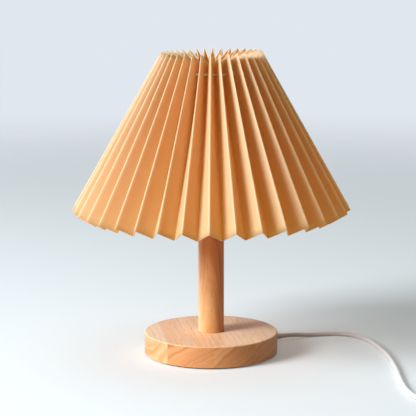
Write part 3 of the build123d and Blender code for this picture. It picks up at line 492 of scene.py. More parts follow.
def settle(obj, body, slot, *replaced):
    """Puts a finished piece on its body and hides the CAD nodes that it stands for. The slot is not used."""
    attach(obj, body)
    if replaced:
        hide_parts(*replaced)
    print(obj.name, "on", body)


# %% The folding rule
PLEATS = 36
PANEL_STEPS = 11
ROWS = 26
RIDGE_TOP, RIDGE_BOTTOM = 0.0515, 0.1445
SHEET_HEIGHT = 0.190
PANEL_WIDTH = 0.0215
SHADE_TOP = 0.318
SHEET_THICKNESS = 0.0005
FOLD_WIDTH = 0.0010
half_pitch = math.pi / PLEATS
slope = math.asin((RIDGE_BOTTOM - RIDGE_TOP) / SHEET_HEIGHT)
shade_bottom = SHADE_TOP - SHEET_HEIGHT * math.cos(slope)


def valley_end(ridge):
    """Radius and drop of the valley fold at an end of the strip, for panels cut square."""
    spread = math.tan(half_pitch) ** 2
    a = 1.0 / math.cos(slope) ** 2 + spread
    b = -2.0 * ridge * spread
    c = ridge**2 * spread - PANEL_WIDTH**2
    inward = (math.sqrt(b * b - 4.0 * a * c) - b) / (2.0 * a)
    return (ridge - inward) / math.cos(half_pitch), inward * math.tan(slope)


valley_top, top_drop = valley_end(RIDGE_TOP)
valley_bottom, bottom_drop = valley_end(RIDGE_BOTTOM)
number, whole = "NodeSocketFloat", "NodeSocketInt"
shade_inputs = [
    ("Pleats", whole, PLEATS),
    ("Panel steps", whole, PANEL_STEPS),
    ("Rows", whole, ROWS),
    ("Ridge top radius", number, RIDGE_TOP),
    ("Ridge bottom radius", number, RIDGE_BOTTOM),
    ("Ridge top level", number, SHADE_TOP),
    ("Ridge bottom level", number, shade_bottom),
    ("Valley top radius", number, valley_top),
    ("Valley bottom radius", number, valley_bottom),
    ("Valley top level", number, SHADE_TOP - top_drop),
    ("Valley bottom level", number, shade_bottom - bottom_drop),
    ("Fold width", number, FOLD_WIDTH),
    ("Turn", number, 0.0),
    ("Drift sideways", number, 0.0),
    ("Drift forwards", number, 0.0),
    ("Top lean", number, 0.0),
    ("Bottom lean", number, 0.0),
    ("Bottom side lift", number, 0.0),
    ("Unevenness", number, 0.0),
    ("Strip length", number, 2 * PLEATS * PANEL_WIDTH),
    ("Strip width", number, SHEET_HEIGHT),
    ("Seed", whole, 5),
    ("Material", "NodeSocketMaterial", None),
]
print("slope", round(math.degrees(slope), 1), "degrees")
print("valleys at", round(valley_top, 4), "and", round(valley_bottom, 4), "m")


# %% Where a fold lies
def fold_place(g, fold, down):
    """Angle of a fold round the cone and its lift, from its number and the way down it."""
    wrapped = g.sum("MODULO", fold, g.value("Pleats"))
    plain = g.sum("DIVIDE", g.sum("MULTIPLY", fold, 2 * math.pi), g.value("Pleats"))
    sideways = g.sum("MULTIPLY", g.sum("COSINE", plain), g.value("Drift sideways"))
    forwards = g.sum("MULTIPLY", g.sum("SINE", plain), g.value("Drift forwards"))
    dice = g.add("FunctionNodeRandomValue")
    dice.data_type = "FLOAT"
    floats = [s for s in dice.inputs if s.type == "VALUE"]
    g.feed(floats[0], -1.0)
    g.feed(floats[1], 1.0)
    g.feed(dice.inputs["ID"], g.sum("MULTIPLY", wrapped, 2.0))
    g.feed(dice.inputs["Seed"], g.value("Seed"))
    rolled = [s for s in dice.outputs if s.type == "VALUE"][0]
    offset = g.sum("ADD", g.sum("SUBTRACT", forwards, sideways), g.value("Turn"))
    jitter = g.sum("MULTIPLY", rolled, g.value("Unevenness"))
    angle = g.sum("ADD", g.sum("ADD", plain, offset), g.sum("SUBTRACT", jitter, math.pi / 2))
    side = g.sum("SINE", plain)
    lift = g.sum("MULTIPLY", g.sum("MULTIPLY", side, side), g.value("Bottom side lift"))
    lift = g.sum("MULTIPLY_ADD", side, g.value("Bottom lean"), lift)
    return angle, g.mix(down, g.sum("MULTIPLY", side, g.value("Top lean")), lift)


def polar(g, radius, angle):
    """X and Y of a point by its radius and angle."""
    return [g.sum("MULTIPLY", radius, g.sum(wave, angle)) for wave in ("COSINE", "SINE")]


def nearness(g, distance, reach):
    """1 on a fold, falling to 0 at the end of its reach."""
    return g.sum("MAXIMUM", g.sum("SUBTRACT", 1.0, g.sum("DIVIDE", distance, reach)), 0.0)


def rounding(g, distance, soft):
    """How far a rounded fold falls short of a sharp one, as a share of the panel."""
    near = nearness(g, distance, soft)
    return g.sum("MULTIPLY", g.sum("MULTIPLY", near, near), g.sum("MULTIPLY", soft, 0.5))


def store(g, geometry, name, kind, domain, value):
    """Keeps a value on the mesh under a name."""
    node = g.add("GeometryNodeStoreNamedAttribute", Geometry=geometry, Name=name)
    node.data_type, node.domain = kind, domain
    g.feed([s for s in node.inputs if s.name == "Value" and s.enabled][0], value)
    return node.outputs[0]


# %% The tree that folds a strip
# The nudge keeps a whole number from being rounded down to the one before it.
NUDGE = 0.001
VALLEY_ROUNDING = 0.6
CREASE_REACH = 1.6
SEAM_GAP = 0.00002


def pleat_tree():
    g = Growth("pleated_cone", shade_inputs)
    steps = g.value("Panel steps")
    columns = g.sum("MULTIPLY", g.value("Pleats"), g.sum("MULTIPLY", steps, 2.0))
    grid = g.add("GeometryNodeMeshGrid", Size_X=1.0, Size_Y=1.0)
    g.feed(grid.inputs["Vertices X"], g.sum("ADD", columns, 1.0))
    g.feed(grid.inputs["Vertices Y"], g.sum("ADD", g.value("Rows"), 1.0))
    at = g.add("ShaderNodeSeparateXYZ", Vector=g.add("GeometryNodeInputPosition").outputs[0])
    along = g.sum("ADD", at.outputs["X"], 0.5)
    down = g.sum("SUBTRACT", 0.5, at.outputs["Y"])
    column = g.sum("ROUND", g.sum("MULTIPLY", along, columns))
    panel = g.sum("FLOOR", g.sum("DIVIDE", g.sum("ADD", column, NUDGE), steps))
    step = g.sum("DIVIDE", g.sum("SUBTRACT", column, g.sum("MULTIPLY", panel, steps)), steps)
    across = g.sum("MULTIPLY", g.sum("MULTIPLY", step, step), g.sum("MULTIPLY_ADD", step, -2.0, 3.0))
    towards = g.sum("ABSOLUTE", g.sum("SUBTRACT", across, g.sum("MODULO", panel, 2.0)))
    ridge_number = g.sum("FLOOR", g.sum("DIVIDE", g.sum("ADD", panel, 1.0 + NUDGE), 2.0))
    valley_number = g.sum("ADD", g.sum("FLOOR", g.sum("DIVIDE", g.sum("ADD", panel, NUDGE), 2.0)), 0.5)
    ridge_angle, ridge_lift = fold_place(g, ridge_number, down)
    valley_angle, valley_lift = fold_place(g, valley_number, down)
    ridge_r = g.mix(down, g.value("Ridge top radius"), g.value("Ridge bottom radius"))
    ridge_z = g.mix(down, g.value("Ridge top level"), g.value("Ridge bottom level"))
    ridge_z = g.sum("ADD", ridge_z, ridge_lift)
    valley_r = g.mix(down, g.value("Valley top radius"), g.value("Valley bottom radius"))
    valley_z = g.mix(down, g.value("Valley top level"), g.value("Valley bottom level"))
    valley_z = g.sum("ADD", valley_z, valley_lift)
    half_width = g.sum("MULTIPLY", g.mix(towards, ridge_r, valley_r), half_pitch)
    soft = g.sum("DIVIDE", g.value("Fold width"), half_width)
    ridge_loss = rounding(g, towards, soft)
    valley_loss = rounding(g, g.sum("SUBTRACT", 1.0, towards), soft)
    kept = g.sum("MULTIPLY", g.sum("MULTIPLY", soft, 0.5), g.sum("SUBTRACT", 1.0, towards))
    shift = g.sum("SUBTRACT", g.sum("SUBTRACT", ridge_loss, kept),
                  g.sum("MULTIPLY", valley_loss, VALLEY_ROUNDING))
    depth_r = g.sum("MULTIPLY", shift, g.sum("SUBTRACT", valley_r, ridge_r))
    depth_z = g.sum("MULTIPLY", shift, g.sum("SUBTRACT", valley_z, ridge_z))
    turn = g.mix(towards, ridge_angle, valley_angle)
    ends = zip(polar(g, ridge_r, ridge_angle), polar(g, valley_r, valley_angle), polar(g, depth_r, turn))
    x, y = (g.sum("ADD", g.mix(towards, ridge, valley), depth) for ridge, valley, depth in ends)
    z = g.sum("ADD", g.mix(towards, ridge_z, valley_z), depth_z)
    strip_at = g.sum("DIVIDE", g.sum("ADD", panel, across), g.sum("MULTIPLY", g.value("Pleats"), 2.0))
    flat = g.point(g.sum("MULTIPLY", strip_at, g.value("Strip length")),
                   g.sum("MULTIPLY", down, g.value("Strip width")), 0.0)
    marked = store(g, grid.outputs["Mesh"], "UVMap", "FLOAT2", "CORNER", flat)
    # Where the folds are, for the painted highlight and wear along the ridges.
    crease = nearness(g, towards, g.sum("MULTIPLY", soft, CREASE_REACH))
    marked = store(g, marked, "crease", "FLOAT", "POINT", crease)
    placed = g.add("GeometryNodeSetPosition", Geometry=marked, Position=g.point(x, y, z))
    closed = g.add("GeometryNodeMergeByDistance", Geometry=placed.outputs[0], Distance=SEAM_GAP)
    smooth = g.add("GeometryNodeSetShadeSmooth", Geometry=closed.outputs[0])
    return g.finish(smooth.outputs[0], g.value("Material"))


# %% Fold the sheet
shade = grow("pleated_sheet", pleat_tree(), {
    "Turn": 0.060, "Drift sideways": 0.0745, "Drift forwards": 0.0205, "Unevenness": 0.006,
    "Top lean": 0.0012, "Bottom lean": 0.0007, "Bottom side lift": 0.0025, "Material": cream_sheet,
})
shade.data.materials.append(cut_edge)
wall = shade.modifiers.new("thickness", "SOLIDIFY")
wall.thickness = SHEET_THICKNESS
wall.offset = 0.0
wall.material_offset_rim = 1
settle(shade, "shade", "pleated_paper", "shade_sheet")
print("faces", len(shade.data.polygons))

# %% [markdown]
# ## Lead
# A lead is one smooth curve: a NURBS spline that takes the corners of its route as control
# points, with a round bevel for the sheath. The route leaves the strain relief straight, comes
# down to the floor and swings round to the front. What is left over is wound into a tied coil.

# %% Lead from the base to the switch
CORD_DIAMETER = 0.0048
CORD_RADIUS = CORD_DIAMETER / 2
LEAD_BEARING = math.radians(33.0)
LEAD_LEVEL = 0.0056
GLAND_TIP = 0.090
SWITCH_X, SWITCH_Y, SWITCH_LEVEL = 0.275, -0.216, 0.008
SWITCH_REACH = 0.023


def along_lead(distance):
    """A point on the axis of the strain relief."""
    return (distance * math.cos(LEAD_BEARING), distance * math.sin(LEAD_BEARING), LEAD_LEVEL)


lead_route = [
    along_lead(GLAND_TIP - 0.004),
    along_lead(GLAND_TIP + 0.013),
    (0.1030, 0.0635, 0.0032),
    (0.1220, 0.0705, CORD_RADIUS),
    (0.1410, 0.0730, CORD_RADIUS),
    (0.1570, 0.0660, CORD_RADIUS),
    (0.1685, 0.0490, CORD_RADIUS),
    (0.1760, 0.0260, CORD_RADIUS),
    (0.1820, -0.0020, CORD_RADIUS),
    (0.1860, -0.0360, CORD_RADIUS),
    (0.1875, -0.0760, CORD_RADIUS),
    (0.1865, -0.1180, CORD_RADIUS),
    (0.1880, -0.1560, CORD_RADIUS),
    (0.1970, -0.1860, CORD_RADIUS),
    (0.2140, -0.2070, 0.0042),
    (SWITCH_X - SWITCH_REACH - 0.020, SWITCH_Y, SWITCH_LEVEL),
    (SWITCH_X - SWITCH_REACH, SWITCH_Y, SWITCH_LEVEL),
]


def smooth_path(name, route, closed=False):
    """A curve with one smooth spline that takes the route as its control points."""
    curve = bpy.data.curves.new(name, "CURVE")
    curve.dimensions = "3D"
    spline = curve.splines.new("NURBS")
    spline.points.add(len(route) - 1)
    for point, place in zip(spline.points, route):
        point.co = (*place, 1.0)
    spline.order_u = 3
    spline.use_endpoint_u = not closed
    spline.use_cyclic_u = closed
    spline.resolution_u = 8
    return curve


def flex(name, route, material):
    """A round flexible lead along a route."""
    curve = smooth_path(name, route)
    curve.bevel_depth = CORD_RADIUS
    curve.bevel_resolution = 5
    curve.use_fill_caps = True
    curve.materials.append(material)
    made = bpy.data.objects.new(name, curve)
    bpy.context.collection.objects.link(made)
    return made


lead = flex("lead_to_switch", lead_route, white_sheath)
settle(lead, "stand", "cord_white", "cord_lead")

# %% Coil and tail, from the switch to the plug
COIL_X, COIL_Y = 0.310, -0.162
COIL_OUTER, COIL_PITCH = 0.0340, 0.0054
HALF_TURNS_IN, HALF_TURNS_OUT = 5, 6
CLIMB_TUCK = 0.0025
STRAP_ROOM = 0.0013
COIL_LOW = STRAP_ROOM + CORD_RADIUS
POINTS_PER_HALF_TURN = 8
coil_inner = COIL_OUTER - COIL_PITCH / 2 * HALF_TURNS_IN
coil_radii = [COIL_OUTER - COIL_PITCH / 2 * k for k in range(HALF_TURNS_IN + 1)]
coil_radii.append(coil_inner - CLIMB_TUCK)
coil_radii += [coil_inner + COIL_PITCH / 2 * (k + 1) for k in range(HALF_TURNS_OUT)]


def coil_turns():
    """Points of the coil: in on the lower layer, up, and out on the upper one."""
    points = []
    spare = 1.0 / math.cos(math.pi / POINTS_PER_HALF_TURN / 2) ** 2
    for k, (here, there) in enumerate(zip(coil_radii, coil_radii[1:])):
        low = COIL_LOW if k <= HALF_TURNS_IN else COIL_LOW + COIL_PITCH
        high = COIL_LOW if k < HALF_TURNS_IN else COIL_LOW + COIL_PITCH
        for step in range(POINTS_PER_HALF_TURN):
            share = step / POINTS_PER_HALF_TURN
            angle = math.pi * (k + share)
            radius = here + (there - here) * share
            points.append((COIL_X + radius * spare * math.cos(angle),
                           COIL_Y + radius * spare * math.sin(angle), low + (high - low) * share))
    return points


coil_high = COIL_LOW + COIL_PITCH
PLUG_X, PLUG_Y, PLUG_LEVEL = 0.296, -0.103, 0.00685
coil_route = [
    (SWITCH_X + SWITCH_REACH, SWITCH_Y, SWITCH_LEVEL),
    (SWITCH_X + SWITCH_REACH + 0.017, SWITCH_Y, SWITCH_LEVEL),
    (0.3315, -0.2100, 0.0066),
    (0.3415, -0.1960, 0.0046),
    (COIL_X + COIL_OUTER, -0.1800, COIL_LOW),
    *coil_turns(),
    (COIL_X + coil_radii[-1], COIL_Y, coil_high),
    (COIL_X + coil_radii[-1], -0.1420, coil_high),
    (0.3410, -0.1240, 0.0084),
    (0.3280, -0.1100, 0.0074),
    (PLUG_X + 0.015, PLUG_Y, PLUG_LEVEL),
    (PLUG_X - 0.004, PLUG_Y, PLUG_LEVEL),
]
print("coil of", len(coil_radii) - 1, "half turns")

# %% [markdown]
# ## Strap
# A short woven strap holds the turns of the coil together. It is a flat band with rounded edges.
# A bevelled curve would twist at the corners, so the section is swept once round the turns by
# hand, and each of its rows stays square to the band.

# %% Strap round the coil
STRAP_THICKNESS = 0.0008
STRAP_CORNER = 0.0036
CORNER_STEPS = 6
EDGE_SWELL = 0.03


def strap_line():
    """Middle line of the strap, once round the turns."""
    low, high = (Vector(v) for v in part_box("cord_tie"))
    left, right = low.x + STRAP_THICKNESS / 2, high.x - STRAP_THICKNESS / 2
    foot, top = low.z + STRAP_THICKNESS / 2, high.z - STRAP_THICKNESS / 2
    corners = [(right, foot, -90), (right, top, 0), (left, top, 90), (left, foot, 180)]
    line = [((left + right) / 2, foot)]
    for x, z, start in corners:
        centre_x = x - math.copysign(STRAP_CORNER, x - (left + right) / 2)
        centre_z = z - math.copysign(STRAP_CORNER, z - (foot + top) / 2)
        for step in range(CORNER_STEPS + 1):
            angle = math.radians(start + 90 * step / CORNER_STEPS)
            line.append((centre_x + STRAP_CORNER * math.cos(angle),
                         centre_z + STRAP_CORNER * math.sin(angle)))
    line.append(line[0])
    return line, (low.y, high.y)


def woven_strap():
    """A flat band with rounded edges, swept along its line."""
    line, (front, back) = strap_line()
    mesh = bmesh.new()
    half = STRAP_THICKNESS / 2
    across = [0.0, 0.35, 0.65, 1.0]
    edge = [*((share, -half) for share in across), (1.0 + EDGE_SWELL, 0.0),
            *((share, half) for share in reversed(across)), (-EDGE_SWELL, 0.0)]
    rows = []
    for (x0, z0), (x, z), (x1, z1) in zip([line[-2], *line], line, [*line[1:], line[1]]):
        along = Vector((x1 - x0, 0.0, z1 - z0)).normalized()
        out = Vector((along.z, 0.0, -along.x))
        rows.append([mesh.verts.new(Vector((x, back + (front - back) * share, z)) + out * lift)
                     for share, lift in edge])
    for here, there in zip(rows, rows[1:]):
        for k in range(len(edge)):
            n = (k + 1) % len(edge)
            mesh.faces.new((here[k], here[n], there[n], there[k]))
    bmesh.ops.remove_doubles(mesh, verts=mesh.verts, dist=0.00001)
    bmesh.ops.recalc_face_normals(mesh, faces=mesh.faces)
    for face in mesh.faces:
        face.smooth = True
    data = bpy.data.meshes.new("coil_strap")
    mesh.to_mesh(data)
    mesh.free()
    data.materials.append(white_strap)
    return piece("coil_strap", data)


strap = woven_strap()
settle(strap, "stand", "tie_white", "cord_tie")

# %% Lay the coil
coil = flex("lead_to_plug", coil_route, white_sheath)
settle(coil, "stand", "cord_white", "cord_link", "cord_coil", "cord_tail")

# %% [markdown]
# ## String
# A white cotton string runs through a hole in every panel near the top and keeps the pleats
# together; at the back it is knotted. String is laid from three strands, and their slanting
# lines show even on a thin one. Geometry Nodes wind three helices round a smooth path and give
# each a round section.

# %% Wind a string
STRANDS = 3


def vector_sum(g, operation, first, second, socket=1):
    """One vector from two, or from a vector and a number for the Scale socket."""
    node = g.tree.nodes.new("ShaderNodeVectorMath")
    node.operation = operation
    g.feed(node.inputs[0], first)
    g.feed(node.inputs[socket], second)
    return node.outputs[0]


def string_tree():
    g = Growth("laid_string", [
        ("Path", "NodeSocketObject", None),
        ("Strand radius", "NodeSocketFloat", 0.0006),
        ("Strand offset", "NodeSocketFloat", 0.00055),
        ("Lay", "NodeSocketFloat", 0.006),
        ("Step", "NodeSocketFloat", 0.0006),
        ("Material", "NodeSocketMaterial", None),
    ])
    path = g.add("GeometryNodeObjectInfo", Object=g.value("Path")).outputs["Geometry"]
    fine = g.tree.nodes.new("GeometryNodeResampleCurve")
    fine.mode = "LENGTH"
    g.feed(fine.inputs["Curve"], path)
    g.feed(fine.inputs["Length"], g.value("Step"))
    section = g.add("GeometryNodeCurvePrimitiveCircle", Resolution=7, Radius=g.value("Strand radius"))
    ahead = g.add("GeometryNodeInputTangent").outputs[0]
    across = g.add("GeometryNodeInputNormal").outputs["Normal"]
    reach = g.add("GeometryNodeSplineParameter").outputs["Length"]
    beside = vector_sum(g, "CROSS_PRODUCT", ahead, across)
    turns = g.sum("DIVIDE", reach, g.value("Lay"))
    strands = g.tree.nodes.new("GeometryNodeJoinGeometry")
    for k in range(STRANDS):
        angle = g.sum("MULTIPLY_ADD", turns, 2 * math.pi, 2 * math.pi * k / STRANDS)
        parts = []
        for wave, way in (("COSINE", across), ("SINE", beside)):
            reached = g.sum("MULTIPLY", g.sum(wave, angle), g.value("Strand offset"))
            parts.append(vector_sum(g, "SCALE", way, reached, "Scale"))
        offset = vector_sum(g, "ADD", *parts)
        wound = g.add("GeometryNodeSetPosition", Geometry=fine.outputs[0], Offset=offset)
        tube = g.add("GeometryNodeCurveToMesh", Curve=wound.outputs[0], Fill_Caps=True,
                     Profile_Curve=section.outputs[0])
        g.tree.links.new(tube.outputs[0], strands.inputs[0])
    smooth = g.add("GeometryNodeSetShadeSmooth", Geometry=strands.outputs[0])
    return g.finish(smooth.outputs[0], g.value("Material"))


STRING_DROP = 0.0205
STRING_LEVEL = SHADE_TOP - STRING_DROP
STRING_STAND_OUT = 0.010
KNOT_REACH = 0.0081
TAIL_LENGTH = 0.022
KNOT_BEARING = math.pi / 2 + half_pitch
valley_flare = (valley_bottom - valley_top) / (SHADE_TOP - top_drop - shade_bottom + bottom_drop)
string_radius = valley_top + (SHADE_TOP - top_drop - STRING_LEVEL) * valley_flare + STRING_STAND_OUT
white_cotton = plain_finish("white_cotton", (0.92, 0.92, 0.90), 0.85, 0.06, 2600.0, 0.0003)
laid_string = string_tree()
print("string", round(string_radius, 4), "m from the axis")


def beside_knot(outward, across, up):
    """A point by its way out from the axis, sideways and up, in the groove of the knot."""
    c, s = math.cos(KNOT_BEARING), math.sin(KNOT_BEARING)
    return (outward * c - across * s, outward * s + across * c, STRING_LEVEL + up)


# %% Thread the string and knot it
RING_POINTS = 24
swell = 1.0 / math.cos(math.pi / RING_POINTS) ** 2
ring_route = [(string_radius * swell * math.cos(2 * math.pi * k / RING_POINTS),
               string_radius * swell * math.sin(2 * math.pi * k / RING_POINTS), STRING_LEVEL)
              for k in range(RING_POINTS)]
paths = [smooth_path("string_ring", ring_route, closed=True)]
knot_out = string_radius + KNOT_REACH
for side in (-1, 1):
    # Way out, sideways and up: through the groove, twice round the knot, and down along it.
    tail = [
        (string_radius, 0.0007 * side, 0.0), (knot_out - 0.004, 0.0009 * side, 0.0002),
        (knot_out + 0.0005, -0.0010 * side, 0.0016), (knot_out + 0.0018, -0.0012 * side, 0.0002),
        (knot_out + 0.0006, 0.0002 * side, -0.0018), (knot_out - 0.0014, 0.0014 * side, -0.0006),
        (knot_out - 0.0004, 0.0012 * side, 0.0016), (knot_out + 0.0016, 0.0004 * side, 0.0010),
        (knot_out + 0.0024, 0.0012 * side, -0.0030),
        (knot_out + 0.0030 + 0.4 * TAIL_LENGTH * valley_flare, 0.0016 * side, -0.55 * TAIL_LENGTH),
        (knot_out + 0.0005 + 0.9 * TAIL_LENGTH * valley_flare, 0.0013 * side, -TAIL_LENGTH),
    ]
    paths.append(smooth_path("string_tail", [beside_knot(*place) for place in tail]))
string = bmesh.new()
for path in paths:
    guide = bpy.data.objects.new("string_guide", path)
    bpy.context.collection.objects.link(guide)
    bpy.context.view_layer.update()
    wound = grow("string_part", laid_string, {"Path": guide, "Material": white_cotton})
    string.from_mesh(wound.data)
    bpy.data.objects.remove(wound)
    bpy.data.objects.remove(guide)
string_mesh = bpy.data.meshes.new("cotton_string")
string.to_mesh(string_mesh)
string.free()
string_mesh.materials.append(white_cotton)
settle(piece("cotton_string", string_mesh), "shade", "white_string", "drawstring")

# %% [markdown]
# ## Screw thread
# A bulb cap has a round thread, rolled into thin metal: a wave that climbs one pitch in each
# turn. A spiral laid on a cylinder would show its seams. A grid of angle and height, with the
# wave added to its radius, is the rolled sheet itself, and a wall gives it its thickness.

# %% Thread of the bulb cap
THREAD_PITCH = 0.003629
THREAD_DEPTH = 0.0011
THREAD_SIDES = 72
THREAD_STEP = 0.0004
CAP_RADIUS = 0.0132
CAP_WALL = 0.0003


def ring_faces(rings, sides, closed=False):
    """Faces between one ring of points and the next."""
    faces = []
    for ring in range(rings if closed else rings - 1):
        a, b = ring * sides, (ring + 1) % rings * sides
        for k in range(sides):
            n = (k + 1) % sides
            faces.append((a + k, a + n, b + n, b + k))
    return faces


def rolled_thread(name, profile, material):
    """A thin round shell along a profile of height, radius and share of the thread."""
    levels = []
    for here, there in zip(profile, profile[1:]):
        steps = max(1, round((there[0] - here[0]) / THREAD_STEP))
        for k in range(steps):
            levels.append(tuple(a + (b - a) * k / steps for a, b in zip(here, there)))
    levels.append(profile[-1])
    verts = []
    for z, radius, share in levels:
        for k in range(THREAD_SIDES):
            angle = 2 * math.pi * k / THREAD_SIDES
            wave = math.cos(2 * math.pi * z / THREAD_PITCH - angle)
            r = radius + THREAD_DEPTH / 2 * (wave - 1.0) * share
            verts.append((r * math.cos(angle), r * math.sin(angle), z))
    mesh = bpy.data.meshes.new(name)
    mesh.from_pydata(verts, [], ring_faces(len(levels), THREAD_SIDES))
    mesh.polygons.foreach_set("use_smooth", [True] * len(mesh.polygons))
    mesh.materials.append(material)
    made = piece(name, mesh)
    shell = made.modifiers.new("wall", "SOLIDIFY")
    shell.thickness, shell.offset = CAP_WALL, -1.0
    return made


cap_low, cap_high = (v[2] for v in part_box("bulb_cap"))
cap_profile = [
    (cap_low, 0.0082, 0.0),
    (cap_low + 0.0006, 0.0108, 0.0),
    (cap_low + 0.0018, 0.0124, 0.0),
    (cap_low + 0.0030, CAP_RADIUS, 1.0),
    (cap_high - 0.0050, CAP_RADIUS, 1.0),
    (cap_high - 0.0035, CAP_RADIUS, 0.0),
    (cap_high, CAP_RADIUS, 0.0),
]
settle(rolled_thread("threaded_cap", cap_profile, rolled_aluminium), "bulb", "bulb_metal", "bulb_cap")

# %% [markdown]
# ## Ribs and the strain relief
# A clamp ring is tightened by hand, so its rim has grip ribs. They repeat round a circle: one
# rounded bar is made from a line with a swelling radius, and Geometry Nodes set it on every
# point of a ring. The strain relief is a turned form: a soft sleeve with grooves that lets the
# lead bend gently.

# %% Grip ribs
def rib_tree():
    g = Growth("grip_ribs", [
        ("Count", "NodeSocketInt", 40),
        ("Ring radius", "NodeSocketFloat", 0.0233),
        ("Low", "NodeSocketFloat", 0.0),
        ("High", "NodeSocketFloat", 0.01),
        ("Rib radius", "NodeSocketFloat", 0.0006),
        ("Material", "NodeSocketMaterial", None),
    ])
    line = g.add("GeometryNodeCurvePrimitiveLine")
    g.feed(line.inputs["Start"], g.point(0.0, 0.0, g.value("Low")))
    g.feed(line.inputs["End"], g.point(0.0, 0.0, g.value("High")))
    bar = g.add("GeometryNodeResampleCurve", Curve=line.outputs[0], Count=9)
    share = g.add("GeometryNodeSplineParameter").outputs["Factor"]
    end = g.sum("POWER", g.sum("ABSOLUTE", g.sum("MULTIPLY_ADD", share, 2.0, -1.0)), 6.0)
    swell = g.sum("SQRT", g.sum("SUBTRACT", 1.02, end))
    section = g.add("GeometryNodeCurvePrimitiveCircle", Resolution=8, Radius=g.value("Rib radius"))
    rib = g.add("GeometryNodeCurveToMesh", Curve=bar.outputs[0], Profile_Curve=section.outputs[0],
                Scale=swell, Fill_Caps=True)
    ring = g.add("GeometryNodeMeshCircle", Vertices=g.value("Count"), Radius=g.value("Ring radius"))
    ribs = g.add("GeometryNodeInstanceOnPoints", Points=ring.outputs[0], Instance=rib.outputs[0])
    smooth = g.add("GeometryNodeSetShadeSmooth", Geometry=ribs.outputs[0])
    return g.finish(smooth.outputs[0], g.value("Material"))


RIB_RING = 0.02335
RIB_LOW, RIB_HIGH = 0.0028, 0.0004
ring_low, ring_high = (v[2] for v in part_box("shade_clamp_ring"))
ribs = grow("clamp_ring_ribs", rib_tree(), {
    "Ring radius": RIB_RING, "Low": ring_low + RIB_LOW, "High": ring_high - RIB_HIGH,
    "Material": white_moulding,
})
settle(ribs, "stand", "holder_white")

# %% Strain relief
GLAND_INNER, BASE_RADIUS = 0.057, 0.070
GLAND_BORE = CORD_RADIUS + 0.0001
GLAND_SLEEVE, GLAND_COLLAR = 0.0040, 0.0052
GLAND_SIDES = 40
GROOVES = 6
GROOVE_DEPTH = 0.35
CREASE_ANGLE = math.radians(35.0)


def gland_profile():
    """Distance along the lead and radius: sleeve, collar, grooves and tip."""
    profile = [
        (GLAND_INNER, GLAND_BORE),
        (GLAND_INNER, 0.0037),
        (GLAND_INNER + 0.0003, GLAND_SLEEVE),
        (BASE_RADIUS, GLAND_SLEEVE),
        (BASE_RADIUS + 0.0001, 0.0049),
        (BASE_RADIUS + 0.0004, GLAND_COLLAR),
        (BASE_RADIUS + 0.0016, GLAND_COLLAR),
        (BASE_RADIUS + 0.0020, 0.0048),
        (BASE_RADIUS + 0.0021, GLAND_SLEEVE),
    ]
    start, stop = BASE_RADIUS + 0.0028, GLAND_TIP - 0.0012
    step = (stop - start) / GROOVES
    taper = (GLAND_SLEEVE - GLAND_BORE - 0.0005) / (GLAND_TIP - BASE_RADIUS)
    for k in range(GROOVES):
        at = start + step * k
        high = GLAND_SLEEVE - taper * (at - BASE_RADIUS)
        deep = high - GROOVE_DEPTH * (high - GLAND_BORE)
        profile += [(at, high), (at + 0.30 * step, high), (at + 0.42 * step, deep), (at + 0.72 * step, deep)]
    return profile + [
        (stop, GLAND_BORE + 0.0006),
        (GLAND_TIP - 0.0002, GLAND_BORE + 0.0005),
        (GLAND_TIP, GLAND_BORE + 0.0003),
        (GLAND_TIP, GLAND_BORE),
    ]


def strain_relief():
    """A turned sleeve with a collar and grooves, along the axis of the lead."""
    profile = gland_profile()
    ahead = Vector((math.cos(LEAD_BEARING), math.sin(LEAD_BEARING), 0.0))
    aside, up = Vector((-ahead.y, ahead.x, 0.0)), Vector((0.0, 0.0, 1.0))
    verts = []
    for distance, radius in profile:
        for k in range(GLAND_SIDES):
            angle = 2 * math.pi * k / GLAND_SIDES
            turn = aside * math.cos(angle) + up * math.sin(angle)
            verts.append(ahead * distance + up * LEAD_LEVEL + turn * radius)
    mesh = bpy.data.meshes.new("strain_relief")
    mesh.from_pydata(verts, [], ring_faces(len(profile), GLAND_SIDES, closed=True))
    shape = bmesh.new()
    shape.from_mesh(mesh)
    bmesh.ops.recalc_face_normals(shape, faces=shape.faces)
    shape.to_mesh(mesh)
    shape.free()
    mesh.polygons.foreach_set("use_smooth", [True] * len(mesh.polygons))
    mesh.set_sharp_from_angle(angle=CREASE_ANGLE)
    mesh.materials.append(white_sheath)
    return piece("strain_relief", mesh)


settle(strain_relief(), "stand", "cord_white", "cord_gland")

# %% [markdown]
# ## Floor and light
# The lamp stands on a pale floor. A floor that ends in a hard line would draw a false horizon,
# so it is a large disc that fades into the pale world behind it. Only the near part, which takes
# the shadow, is solid. One large soft lamp on the left is the main light, and a wide one
# overhead lifts the shadows.

# %% Floor
FLOOR_RADIUS = 2.6
FLOOR_SOLID = 0.7
FLOOR_SIDES = 96
FLOOR_BOUNCE, FLOOR_SEEN = (0.59, 0.47, 0.32), (0.73, 0.82, 0.89)
FLOOR_GLOW, GLOW_STRENGTH = (0.90, 0.97, 1.0, 1.0), 0.20


def round_floor():
    """A flat disc round the lamp."""
    mesh = bpy.data.meshes.new("floor")
    angles = [2 * math.pi * k / FLOOR_SIDES for k in range(FLOOR_SIDES)]
    ring = [(FLOOR_RADIUS * math.cos(angle), FLOOR_RADIUS * math.sin(angle), 0.0) for angle in angles]
    mesh.from_pydata(ring, [], [tuple(range(FLOOR_SIDES))])
    return piece("floor", mesh)


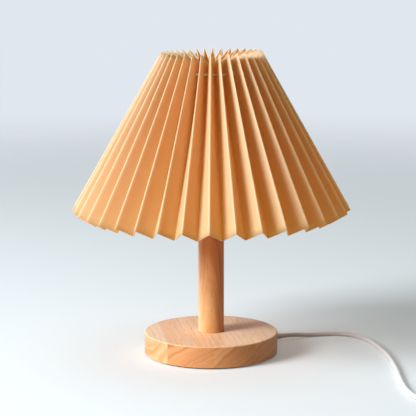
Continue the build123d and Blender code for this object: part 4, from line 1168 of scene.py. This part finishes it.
def floor_finish():
    """Pale where it is seen, darker and warmer in the light that it throws back, and faded at its rim."""
    f = Finish("pale_floor")
    shown = f.shown()
    f.set(Base_Color=f.blend(shown, FLOOR_BOUNCE, FLOOR_SEEN), Roughness=0.75, Specular_IOR_Level=0.1)
    f.set(Emission_Color=FLOOR_GLOW, Emission_Strength=f.sum("MULTIPLY", shown, GLOW_STRENGTH))
    reach = f.add("ShaderNodeVectorMath", Vector=f.place)
    reach.operation = "LENGTH"
    fade = f.add("ShaderNodeMapRange", Value=reach.outputs["Value"], To_Min=1.0, To_Max=0.0,
                 From_Min=FLOOR_SOLID, From_Max=FLOOR_RADIUS)
    fade.interpolation_type = "SMOOTHSTEP"
    above = f.sum("SUBTRACT", 1.0, f.add("ShaderNodeNewGeometry").outputs["Backfacing"])
    solid = f.sum("MULTIPLY", fade.outputs["Result"], above)
    clear = f.add("ShaderNodeBsdfTransparent")
    f.surface(solid, clear.outputs[0], f.skin.outputs[0])
    return f.material


floor = round_floor()
floor.data.materials.append(floor_finish())
print("floor", 2 * FLOOR_RADIUS, "m across")


# %% Lamps and world
def soft_lamp(name, place, target, size, power, colour):
    """A square lamp that faces a point."""
    data = bpy.data.lights.new(name, "AREA")
    data.shape, data.size, data.energy, data.color = "SQUARE", size, power, colour
    lamp = bpy.data.objects.new(name, data)
    lamp.location = place
    lamp.rotation_euler = (Vector(target) - Vector(place)).to_track_quat("-Z", "Y").to_euler()
    lamp.visible_camera = False
    bpy.context.collection.objects.link(lamp)


soft_lamp("main_lamp", place=(-1.95, -1.12, 1.35), target=(0.0, 0.0, 0.18), size=1.1, power=91.0,
          colour=(1.0, 0.99, 0.97))
soft_lamp("overhead", place=(0.2, 0.2, 2.4), target=(0.0, 0.0, 0.1), size=2.2, power=13.0,
          colour=(1.0, 0.96, 0.88))

SKY_LIGHT, SKY_STRENGTH = (1.0, 0.88, 0.55, 1.0), 0.045
SKY_SEEN = (0.75, 0.80, 0.86, 1.0)
world = bpy.data.worlds.new("pale_sky")
world.use_nodes = True
bpy.context.scene.world = world
sky = Graph(world.node_tree)
dim = sky.add("ShaderNodeBackground", Color=SKY_LIGHT, Strength=SKY_STRENGTH)
bright = sky.add("ShaderNodeBackground", Color=SKY_SEEN, Strength=1.0)
sky.surface(sky.shown(), dim.outputs[0], bright.outputs[0], "World Output")
bpy.context.scene.view_settings.view_transform = "Standard"
